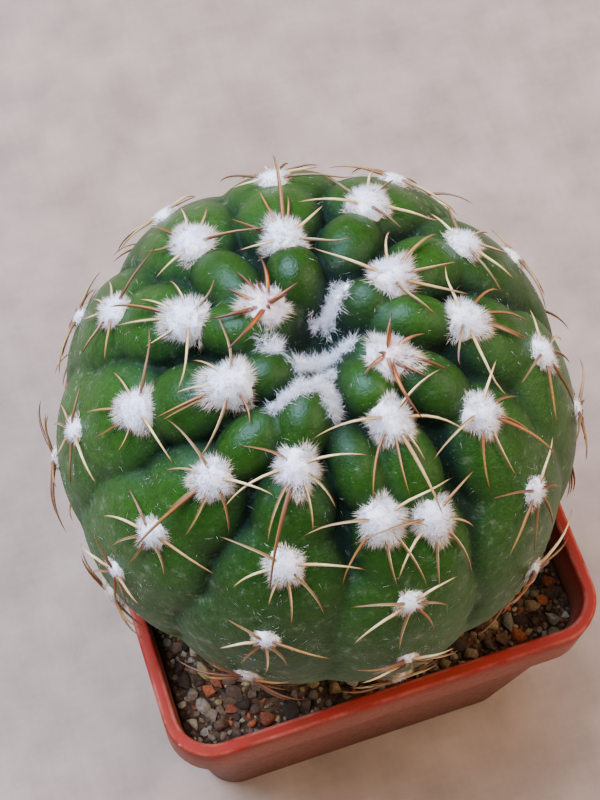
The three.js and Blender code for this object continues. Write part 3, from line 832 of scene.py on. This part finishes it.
pores = add_node(skin, "TexNoise", {"Scale": 1 / (PORE_MM * MM), "Detail": 3.0}, {"Vector": place})
relief = add_node(skin, "Bump", {"Strength": 0.8, "Distance": 0.12 * MM}, {"Height": pores})
link(skin, relief, skin_shader, "Normal")
flesh.data.materials.append(skin)
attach(flesh, "root")
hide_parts("cactus")


# Felt
# Each areole is a cushion of white wool: a dense dome with a star of fine hairs round it, drawn
# out a little towards the foot. It is biggest beside the crown and wears down with age.
FELT_RADIUS_MM = 3.3
FELT_HEIGHT_MM = 1.7
FELT_SIZE = (1.04, 0.5)
FELT_FADE = (22, 84)
FELT_VARIES = (0.9, 1.1)
FOOT_FELT = 0.16
FOOT_FELT_FADE = (86, 100)
TUFT_WIDTH = 0.84
CORE_HEIGHT = 0.81
CORE_BUMPS = 0.08
HAIRS_PER_TUFT = 2400
SMALL_TUFT_HAIRS = 0.4
TUFT_SIZES = (0.5, 1.05)
TUFT_LOBES = ((5, 0.13), (3, 0.10))
TUFT_TAIL = 0.35
TAIL_SWING = 0.35
HAIR_RADIUS_MM = 0.029
HAIR_LENGTH = (0.7, 1.3)
HAIR_LENGTH_VARIES = (0.5, 1.4)
HAIR_LIFT = 0.8
HAIR_SUNK_MM = 0.15
HAIR_TILT = (12, 84)
HAIR_TILT_VARIES = 12
HAIR_STRAY = 0.28
TUFT_BANDS = ((0, 34), (34, 58), (58, 180))
NEW_TUFT = (14, 19)
NEW_TUFT_HEART = (0.15, 0.9)
NEW_TUFT_PEACH = 0.5
OLD_TUFT = (72, 100)
OLD_TUFT_STAIN = 0.8
MATTED_MM = 1.4
FLUFF_MM = 0.35
WOOL_STAINED = "#bb9c88"
WOOL_WARM = "#f0d192"
WOOL_NEW = "#e6a884"


def felt_size(areole):
    """How big a tuft is, as a share of the biggest."""
    size = between(*FELT_SIZE, ramp(areole["polar"], *FELT_FADE))
    size += FOOT_FELT * ramp(areole["polar"], *FOOT_FELT_FADE)
    return size * between(*FELT_VARIES, draw(areole["number"], 0, 3))


def across_skin(areole, x, y):
    """Directions over the skin from an areole: x is towards the foot and y is sideways."""
    return x[:, None] * areole["along"] + y[:, None] * areole["across"]


def tapered_rods(paths, radii, outward, sides):
    """Points and faces of rods that follow paths[rod, station] and close in a tip at the last one."""
    rods, stations = paths.shape[:2]
    ahead = unit(np.gradient(paths, axis=1)[:, :-1])
    sideways = unit(np.cross(ahead, outward[:, None, :]) + 1e-9)
    upward = np.cross(sideways, ahead)
    turn = 2 * np.pi * np.arange(sides)[:, None] / sides
    ring = sideways[:, :, None] * np.cos(turn) + upward[:, :, None] * np.sin(turn)
    rings = paths[:, :-1, None] + radii[:, :, None, None] * ring
    points = np.concatenate([rings.reshape(rods, -1, 3), paths[:, -1:]], axis=1)
    pattern = [tuple(range(sides - 1, -1, -1))]
    for station in range(stations - 2):
        for i in range(sides):
            a, b = station * sides + i, station * sides + (i + 1) % sides
            pattern.append((a, b, b + sides, a + sides))
    last = (stations - 2) * sides
    tip = (stations - 1) * sides
    pattern += [(last + i, last + (i + 1) % sides, tip) for i in range(sides)]
    each = points.shape[1]
    faces = [tuple(rod * each + corner for corner in face) for rod in range(rods) for face in pattern]
    return points.reshape(-1, 3), faces


def grow_hairs(roots, leans, lengths_mm):
    """Paths of short straight hairs from their roots, in metres."""
    return np.stack([roots, roots + leans * (lengths_mm * MM)[:, None]], axis=1)


def tuft_hairs(areole):
    """Hair paths of one tuft, and the outward direction at each root."""
    rng = np.random.default_rng(100 + areole["number"])
    size = felt_size(areole)
    count = int(HAIRS_PER_TUFT * between(SMALL_TUFT_HAIRS, 1, ramp(size, *TUFT_SIZES)))
    reach = np.sqrt(rng.uniform(0, 1, count))
    angle = rng.uniform(0, 2 * np.pi, count)
    star = 1
    for lobes, depth in TUFT_LOBES:
        star = star + depth * np.cos(lobes * angle + 6 * rng.uniform())
    tail = 1 + TUFT_TAIL * np.maximum(np.cos(angle - rng.normal(0, TAIL_SWING)), 0) ** 6
    flat = across_skin(areole, np.cos(angle), np.sin(angle))
    offset = reach * star * tail * FELT_RADIUS_MM * size * TUFT_WIDTH
    rays = unit(areole["centre"] + flat * (offset / BODY_RADIUS_MM)[:, None])
    lift = FELT_HEIGHT_MM * size * np.sqrt(np.maximum(1 - reach ** 2, 0)) * HAIR_LIFT
    roots = at_skin(rays, lift - HAIR_SUNK_MM)
    tilt = np.radians(between(*HAIR_TILT, reach ** 1.5) + rng.normal(0, HAIR_TILT_VARIES, count))
    leans = rays * np.cos(tilt)[:, None] + flat * np.sin(tilt)[:, None]
    leans = unit(leans + rng.normal(0, HAIR_STRAY, leans.shape))
    lengths = size * between(*HAIR_LENGTH, reach ** 2) * rng.uniform(*HAIR_LENGTH_VARIES, count)
    return grow_hairs(roots, leans, lengths), rays


deselect_all()
bpy.ops.mesh.primitive_ico_sphere_add(subdivisions=3, radius=1)
dome_shape, dome_faces = take_shape(bpy.context.object)


def tuft_core(areole):
    """Points of the dense dome under a tuft's hairs."""
    rng = np.random.default_rng(300 + areole["number"])
    size = felt_size(areole)
    bumps = 1 + CORE_BUMPS * rng.normal(size=len(dome_shape))
    flat = across_skin(areole, dome_shape[:, 0], dome_shape[:, 1])
    spread = FELT_RADIUS_MM * size * TUFT_WIDTH / BODY_RADIUS_MM * bumps
    rays = unit(areole["centre"] + flat * spread[:, None])
    return at_skin(rays, FELT_HEIGHT_MM * size * (dome_shape[:, 2] * bumps * CORE_HEIGHT))


# Areole wool: fine white hairs, matted and dull. The fringe of a tuft is cream, the heart of a new
# one is peach, and an old one is stained tan by the soil. The real hairs are finer than a pixel, so
# fewer and thicker ones stand for them.
wool, wool_shader, place = new_material("white_areole_wool", {
    "Roughness": 0.9, "Specular IOR Level": 0.2,
    "Sheen Weight": 0.5, "Sheen Tint": linear("#dfe8ff"), "Sheen Roughness": 0.6,
})
matted = add_node(wool, "TexNoise", {"Scale": 1 / (MATTED_MM * MM), "Detail": 3.0}, {"Vector": place})
white = add_node(wool, "ValToRGB", {"stops": [(0.3, "#f2f3fc"), (0.6, "#fafcff")]}, {"Fac": matted})
old, edge, new = [
    add_node(wool, "Attribute", {"attribute_name": name}).outputs["Fac"] for name in ("old", "edge", "new")
]
fringe = add_node(wool, "MapRange", {"From Min": 0.68, "From Max": 1.2, "To Max": 0.7}, {"Value": edge})
coated = white
for share, coat in ((old, WOOL_STAINED), (fringe, WOOL_WARM), (new, WOOL_NEW)):
    coated = add_node(wool, "Mix", {"data_type": "RGBA", "B": linear(coat)}, {"Factor": share, "A": coated})
link(wool, coated, wool_shader, "Base Color")
fluff = add_node(wool, "TexNoise", {"Scale": 1 / (FLUFF_MM * MM), "Detail": 2.0}, {"Vector": place})
relief = add_node(wool, "Bump", {"Strength": 0.6, "Distance": 0.2 * MM}, {"Height": fluff})
link(wool, relief, wool_shader, "Normal")


def felt_piece(name, grown, cores=(), hair_radius_mm=HAIR_RADIUS_MM, tufts=()):
    """One piece of wool from its hairs, their outward directions and the domes under them."""
    hairs = np.concatenate([part[0] for part in grown])
    outward = np.concatenate([part[1] for part in grown])
    points, faces = tapered_rods(hairs, np.full((len(hairs), 1), hair_radius_mm * MM), outward, 3)
    blocks = [points]
    for core in cores:
        first = sum(len(block) for block in blocks)
        blocks.append(core)
        faces += [tuple(first + corner for corner in face) for face in dome_faces]
    points = np.vstack(blocks)
    piece = build_piece(name, points, faces)
    if tufts:
        middles = at_skin(np.stack([areole["centre"] for areole in tufts]))
        gaps = np.linalg.norm(points[:, None] - middles, axis=2)
        own = gaps.argmin(axis=1)
        radii = np.array([FELT_RADIUS_MM * felt_size(areole) * MM for areole in tufts])
        newness = np.array([1 - ramp(areole["polar"], *NEW_TUFT) for areole in tufts])
        oldness = np.array([OLD_TUFT_STAIN * ramp(areole["polar"], *OLD_TUFT) for areole in tufts])
        edge = gaps.min(axis=1) / radii[own]
        write_attribute(piece, "edge", edge)
        write_attribute(piece, "old", oldness[own])
        write_attribute(piece, "new", NEW_TUFT_PEACH * newness[own] * (1 - ramp(edge, *NEW_TUFT_HEART)))
    bpy.ops.object.shade_smooth()
    piece.data.materials.append(wool)
    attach(piece, "root")


for number, (low, high) in enumerate(TUFT_BANDS):
    band = [areole for areole in areoles if low <= areole["polar"] < high]
    felt_piece(
        f"felt_{number + 1}", [tuft_hairs(areole) for areole in band],
        [tuft_core(areole) for areole in band], tufts=band,
    )


# Shed hairs
# A few fine hairs have come away from the tufts and lie scattered on the skin round them.
SHED_PER_TUFT = (16, 46)
SHED_FADE = (45, 85)
SHED_RADIUS_MM = 0.011
SHED_LENGTH_MM = (0.4, 1.5)
SHED_SPREAD = (0.9, 4.2)
SHED_LIFT_MM = 0.02
SHED_RISE = 0.1


def shed_hairs(areole):
    """Short hairs that lie on the skin about a tuft, and the outward direction at each."""
    rng = np.random.default_rng(700 + areole["number"])
    count = int(between(*SHED_PER_TUFT, ramp(areole["polar"], *SHED_FADE)))
    angle = rng.uniform(0, 2 * np.pi, count)
    flat = across_skin(areole, np.cos(angle), np.sin(angle))
    offset = FELT_RADIUS_MM * felt_size(areole) * rng.uniform(*SHED_SPREAD, count)
    rays = unit(areole["centre"] + flat * (offset / BODY_RADIUS_MM)[:, None])
    leans = rng.normal(size=rays.shape)
    leans = unit(leans - rays * ((leans * rays).sum(axis=1, keepdims=True) - SHED_RISE))
    return grow_hairs(at_skin(rays, SHED_LIFT_MM), leans, rng.uniform(*SHED_LENGTH_MM, count)), rays


felt_piece("shed_hairs", [shed_hairs(areole) for areole in areoles], hair_radius_mm=SHED_RADIUS_MM)


# Crown wool
# In the hollow of the crown the newest areoles are still joined: their wool fills the seams
# between the youngest swellings in strips and an arch.
# Each strip is its half width in millimetres and a line of places, as direction and angle from the
# middle.
WOOL_STRIPS = [
    (1.35, [(54, 15), (56, 9), (62, 6)]),
    (0.75, [(78, 6), (100, 6.5)]),
    (0.8, [(-28, 7), (-50, 5), (-105, 4), (-137, 7), (-148, 10)]),
    (1.0, [(170, 13), (-175, 11)]),
    (0.62, [(-140, 21), (-134, 17), (-128, 14), (-118, 13)]),
    (0.95, [(-118, 13), (-111, 12), (-105, 14), (-102, 17), (-100, 20)]),
    (0.5, [(-98, 8), (-91, 10)]),
]
LOCKS_PER_MM2 = 26
LOCK_HAIRS = 10
LOCK_SPREAD_MM = 0.2
LOCK_LENGTH_MM = (0.5, 1.7)
LOCK_STRAY = (0.45, 0.5)
LOCK_LEAN = (0.5, 0.8)
LOCK_HAIR_VARIES = (0.5, 1.2)
STRIP_SWELL = 0.35
STRIP_WAVE = 1.6
STRIP_EDGE = (0.4, 1.4)
STRIP_SINK_MM = 0.4
WOOL_HAIR_RADIUS_MM = 0.019
CORE_SPACING_MM = 0.5
CORE_SIZE = (0.15, 0.32)
CORE_STRAY = 0.35
CORE_SINK_MM = 0.2


def strip_hairs(half_mm, strip, seed):
    """Locks of hair along a strip of wool that lean to both sides, and cores under them."""
    rng = np.random.default_rng(500 + seed)
    corners = direction(*np.array(strip, float).T)
    spans = np.linalg.norm(np.diff(corners, axis=0), axis=1)
    ends = np.concatenate([[0], np.cumsum(spans)])
    length_mm = ends[-1] * BODY_RADIUS_MM
    locks = int(length_mm * 2 * half_mm * LOCKS_PER_MM2)

    def along_strip(share):
        return unit(np.stack([np.interp(share * ends[-1], ends, corners[:, i]) for i in range(3)], axis=1))

    share = rng.uniform(0, 1, locks)
    middle = along_strip(share)
    swell = 1 + STRIP_SWELL * np.sin(length_mm * (share + rng.uniform()) * STRIP_WAVE)
    away = rng.normal(size=(locks, 3))
    away = unit(away - middle * (away * middle).sum(axis=1, keepdims=True))
    offset = rng.uniform(0, 1, locks) ** 0.8 * half_mm * rng.uniform(*STRIP_EDGE, locks) * swell
    rays = unit(middle + away * (offset / BODY_RADIUS_MM)[:, None])
    level = np.maximum(skin_mm(rays)[0], skin_mm(middle)[0] - STRIP_SINK_MM)
    lock_roots = PLANT_MM + rays * level[:, None]
    lock_leans = rays * LOCK_LEAN[0] + away * LOCK_LEAN[1]
    lock_leans = unit(lock_leans + rng.normal(0, LOCK_STRAY[0], rays.shape))
    rays, roots, leans = [np.repeat(part, LOCK_HAIRS, axis=0) for part in (rays, lock_roots, lock_leans)]
    roots = (roots + rng.normal(0, LOCK_SPREAD_MM, roots.shape)) * MM
    leans = unit(leans + rng.normal(0, LOCK_STRAY[1], leans.shape))
    lengths = np.repeat(rng.uniform(*LOCK_LENGTH_MM, locks) ** 1.4, LOCK_HAIRS)
    lengths = lengths * rng.uniform(*LOCK_HAIR_VARIES, len(rays))
    cores = []
    for place in along_strip(rng.uniform(0.05, 0.95, int(length_mm / CORE_SPACING_MM))):
        spot = unit(place + rng.normal(0, CORE_STRAY * half_mm / BODY_RADIUS_MM, 3))
        base = (PLANT_MM + spot * (skin_mm(spot[None])[0][0] - CORE_SINK_MM)) * MM
        cores.append(base + dome_shape * half_mm * rng.uniform(*CORE_SIZE) * MM)
    return grow_hairs(roots, leans, lengths), rays, cores


strips = [strip_hairs(half_mm, strip, seed) for seed, (half_mm, strip) in enumerate(WOOL_STRIPS)]
felt_piece("crown_wool", strips, [core for strip in strips for core in strip[2]], WOOL_HAIR_RADIUS_MM)


# Spines
# Hard needles that fan from each areole and curve back along the skin, six round the edge and on
# some areoles a stouter one in the middle. Beside the crown they are short, thick and amber.
# A spine's number gives its place round the edge and seeds its draws. Place 3 would point at the
# crown and is left empty, and the number after the last place is the spine in the middle.
SPINE_PLACES = 7
EMPTY_PLACE = 3
SPINE_LENGTH_MM = 10.2
SPINE_SPREAD = (0.65, 1.25)
SPINE_SWING = 0.25
SPINE_DROOP = 0.5
DROOP_FADE = (70, 100)
SPINE_RISE = (0.34, 0.54)
SPINE_FALL = 0.38
SPINE_LIFT_MM = 0.8
SPINE_ROOT_MM = 0.3
SPINE_RADIUS_MM = 0.27
SPINE_TAPER = 0.82
SPINE_SIDES = 8
SPINE_SMOOTH_BELOW = 60
YOUNG_FADE = (12, 22)
YOUNG_SHORTER = 0.3
YOUNG_RISE = 0.35
YOUNG_THICKER = 0.5
AMBER_FADE = (13, 22)
LOW_SHORTER = 0.25
LOW_FADE = (35, 80)
CENTRAL_LENGTH_MM = 14
CENTRAL_TURN = (-20, 15)
CENTRAL_RISE = (0.55, 0.8)
CENTRAL_FALL = 0.4
CENTRAL_AREOLES = (18, 41)
CENTRAL_SHARE = 0.85
CENTRAL_THICKER = 1.3
CENTRAL_BROWNER = 0.35
OLD_AREOLE = 80
OLD_SHORTER = 0.5
OLD_WIDER = 0.12
OLD_RISE = 0.18
OLD_RISE_FADE = (62, 84)
OLD_BROWNER = 0.5
OLD_BROWNER_FADE = (60, 95)
FOOT_RISE_FADE = (92, 104)
# Old areoles have two more spines at the sides, and the newest have four short buds. Their numbers
# give their directions between the places round the edge.
LATE_SPINES = (8, 11)
BUD_SPINES = (14, 15, 16, 17)
BUD_RISE = 0.5
BUD_SHARE = 0.42
CLEAR_OF_RIM_MM = 0.8
CLEAR_OF_LIP_MM = 1.5
CLEAR_OF_MIX_MM = 3.1
SHORTEN = 0.93
SHORTEN_TRIES = 40
STATIONS = np.linspace(0, 1, 9)
SPINE_SHADED_SIDE = "#4e240e"
SHADED_SIDE_TURN = (1.0, 2.2)
STREAK_MM = 0.4


def is_clear(point_mm):
    """Whether a point keeps clear of the pot and the grit."""
    side = max(abs(point_mm[0]), abs(point_mm[1]))
    over_rim = point_mm[2] > POT_HEIGHT_MM + CLEAR_OF_RIM_MM
    over_mix = point_mm[2] > SOIL_TOP_MM + CLEAR_OF_MIX_MM
    return over_rim or (side < RIM_HALF_MM - LIP_MM - CLEAR_OF_LIP_MM and over_mix)


def spine_path(areole, spine):
    """Places along a spine, in metres: it rises at a slant, curves back and droops to the foot."""
    number, polar = areole["number"], areole["polar"]
    central = spine == SPINE_PLACES
    late = spine > SPINE_PLACES
    bud = spine in BUD_SPINES
    young = 1 - ramp(polar, *YOUNG_FADE)
    swing = between(-SPINE_SWING, SPINE_SWING, draw(number, spine, 4))
    turn = 360 * ((spine + 0.5 + 0.5 * late + swing) / SPINE_PLACES)
    heading = math.radians(between(*CENTRAL_TURN, draw(number, spine, 4)) if central else turn)
    droop = SPINE_DROOP * (1 - ramp(polar, *DROOP_FADE))
    turned = heading - droop * math.sin(heading) * STATIONS[:, None]
    flat = areole["along"] * np.cos(turned) + areole["across"] * np.sin(turned)
    rise = between(*(CENTRAL_RISE if central else SPINE_RISE), draw(number, spine, 6)) + YOUNG_RISE * young
    rise += OLD_RISE * (ramp(polar, *OLD_RISE_FADE) - ramp(polar, *FOOT_RISE_FADE))
    rise += BUD_RISE * bud
    fall = CENTRAL_FALL if central else SPINE_FALL
    root_reach = skin_mm(areole["centre"][None])[0][0] - SPINE_ROOT_MM
    base = CENTRAL_LENGTH_MM if central else SPINE_LENGTH_MM
    length = base * between(*SPINE_SPREAD, draw(number, spine, 5)) * (1 - YOUNG_SHORTER * young)
    length *= (1 - LOW_SHORTER * ramp(polar, *LOW_FADE)) * (BUD_SHARE if bud else 1)
    if polar > OLD_AREOLE:
        length *= 1 - OLD_SHORTER * max(math.cos(heading), 0) + OLD_WIDER * abs(math.sin(heading)) ** 2
    for attempt in range(SHORTEN_TRIES):
        angle = length * STATIONS / BODY_RADIUS_MM
        rays = np.cos(angle)[:, None] * areole["centre"] + np.sin(angle)[:, None] * flat
        lowest = (skin_mm(rays)[0] + SPINE_LIFT_MM) * (STATIONS > 0)
        slant = root_reach + length * (rise * STATIONS - fall * STATIONS ** 2)
        reach = np.maximum(slant, lowest)
        reach[1:-1] = (reach[:-2] + 2 * reach[1:-1] + reach[2:]) / 4
        path_mm = PLANT_MM + rays * reach[:, None]
        if all(is_clear(point) for point in path_mm[len(STATIONS) // 2:]):
            break
        length *= SHORTEN
    return path_mm * MM


def spine_piece(name, chosen, thickness, browner):
    """One piece of spines. Each is chosen by its areole and its number there."""
    paths = np.stack([spine_path(areole, spine) for areole, spine in chosen])
    outward = np.stack([areole["centre"] for areole, spine in chosen])
    young = np.array([1 - ramp(areole["polar"], *AMBER_FADE) for areole, spine in chosen])
    taper = 1 - SPINE_TAPER * STATIONS[:-1] ** 1.3
    radii = SPINE_RADIUS_MM * MM * (thickness + YOUNG_THICKER * young)[:, None] * taper
    points, faces = tapered_rods(paths, radii, outward, SPINE_SIDES)
    piece = build_piece(name, points, faces)
    each = len(points) // len(chosen)
    along = np.append(np.repeat(STATIONS[:-1], SPINE_SIDES), 1.0)
    corners = np.tile(np.arange(SPINE_SIDES) * 2 * math.pi / SPINE_SIDES - math.pi / 2, len(taper))
    tones, under = [], []
    for areole, spine in chosen:
        older = OLD_BROWNER * ramp(areole["polar"], *OLD_BROWNER_FADE)
        tones.append(draw(areole["number"], spine, 11) + older + browner)
        # Painted shade: each spine gets a dark side, turned round it by a draw.
        phase = between(*SHADED_SIDE_TURN, draw(areole["number"], spine, 13)) * (1 if spine % 2 else -1)
        under.append(np.append((1 - np.cos(corners + phase)) / 2, 0.5))
    write_attribute(piece, "along", np.tile(along, len(chosen)))
    write_attribute(piece, "tone", np.repeat(tones, each))
    write_attribute(piece, "young", np.repeat(young, each))
    write_attribute(piece, "under", np.concatenate(under))
    bpy.ops.object.shade_smooth_by_angle(angle=math.radians(SPINE_SMOOTH_BELOW))
    piece.data.materials.append(horn)
    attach(piece, "root")


# Spine horn: hard, dry and slightly glossy. Each is red brown at the root, straw along most of its
# length and dark at the point, with fine streaks, and one side is painted brown as painted shade.
# Old and central ones are browner, and new ones are translucent amber.
horn, horn_shader, place = new_material("straw_spine_horn", {
    "IOR": 1.5, "Roughness": 0.42, "Subsurface Weight": 0.05,
    "Subsurface Radius": (0.0012, 0.0006, 0.0002), "Subsurface Scale": 1.0,
})
along, tone, young, under = [
    add_node(horn, "Attribute", {"attribute_name": name}).outputs["Fac"]
    for name in ("along", "tone", "young", "under")
]
straw, tan, amber = [
    add_node(horn, "ValToRGB", {"stops": stops}, {"Fac": along})
    for stops in (
        [(0.0, "#6e3520"), (0.2, "#b48f52"), (0.5, "#e8d6a0"), (0.8, "#c2a066"), (1.0, "#3e2015")],
        [(0.0, "#552414"), (0.35, "#845427"), (0.7, "#9a7238"), (1.0, "#2e1911")],
        [(0.0, "#5a1404"), (0.2, "#8a3203"), (0.42, "#ac5f04"), (0.66, "#541b05"), (1.0, "#100503")],
    )
]
browned = add_node(horn, "MapRange", {"From Min": 0.52, "From Max": 0.92}, {"Value": tone})
mixed = add_node(horn, "Mix", {"data_type": "RGBA"}, {"Factor": browned, "A": straw, "B": tan})
newest = add_node(horn, "Mix", {"data_type": "RGBA"}, {"Factor": young, "A": mixed, "B": amber})
streak = add_node(horn, "TexNoise", {"Scale": 1 / (STREAK_MM * MM), "Detail": 2.0}, {"Vector": place})
shade = add_node(
    horn, "MapRange", {"From Min": 0.3, "From Max": 0.7, "To Min": 0.8, "To Max": 1.12}, {"Value": streak}
)
streaked = add_node(
    horn, "Mix", {"data_type": "RGBA", "blend_type": "MULTIPLY", "Factor": 1.0}, {"A": newest, "B": shade}
)
# Painted shade down one side of each spine.
side_shade = add_node(horn, "MapRange", {"From Min": 0.53, "From Max": 0.6, "To Max": 0.85}, {"Value": under})
side_shaded = add_node(
    horn, "Mix", {"data_type": "RGBA", "B": linear(SPINE_SHADED_SIDE)}, {"Factor": side_shade, "A": streaked}
)
link(horn, side_shaded, horn_shader, "Base Color")
relief = add_node(horn, "Bump", {"Strength": 0.3, "Distance": 0.05 * MM}, {"Height": streak})
link(horn, relief, horn_shader, "Normal")

places = [spine for spine in range(SPINE_PLACES) if spine != EMPTY_PLACE]
radial = [(areole, spine) for areole in areoles for spine in places]
radial += [(areole, spine) for areole in areoles if areole["polar"] > OLD_AREOLE for spine in LATE_SPINES]
radial += [(areole, spine) for areole in areoles if areole["polar"] < NEW_TUFT[1] for spine in BUD_SPINES]
central = [
    (areole, SPINE_PLACES) for areole in areoles
    if CENTRAL_AREOLES[0] < areole["polar"] < CENTRAL_AREOLES[1]
    and draw(areole["number"], 9, 46) < CENTRAL_SHARE
]
spine_piece("radial_spines", radial, 1.0, 0)
spine_piece("central_spines", central, CENTRAL_THICKER, CENTRAL_BROWNER)


# Light
# Soft daylight from a window at the upper left of the view, with pale fill from the room.
world = bpy.data.worlds.new("room")
bpy.context.scene.world = world
world.use_nodes = True
sky = world.node_tree.nodes["Background"]
sky.inputs["Color"].default_value = linear("#f2e4d6")
sky.inputs["Strength"].default_value = 0.55


def add_light(name, place, width, power, colour):
    """A square area light that faces the plant."""
    lamp = bpy.data.lights.new(name, "AREA")
    lamp.size = width
    lamp.energy = power
    lamp.color = linear(colour)[:3]
    light = bpy.data.objects.new(name, lamp)
    bpy.context.scene.collection.objects.link(light)
    aim = Vector((0, 0, 0.07)) - Vector(place)
    light.matrix_world = Matrix.Translation(place) @ aim.to_track_quat("-Z", "Y").to_matrix().to_4x4()


add_light("window", (-0.28, 0.38, 0.9), 0.8, 40.5, "#d6e2ff")
add_light("room_fill", (0.55, -0.2, 0.55), 0.6, 6.6, "#ffd8b6")
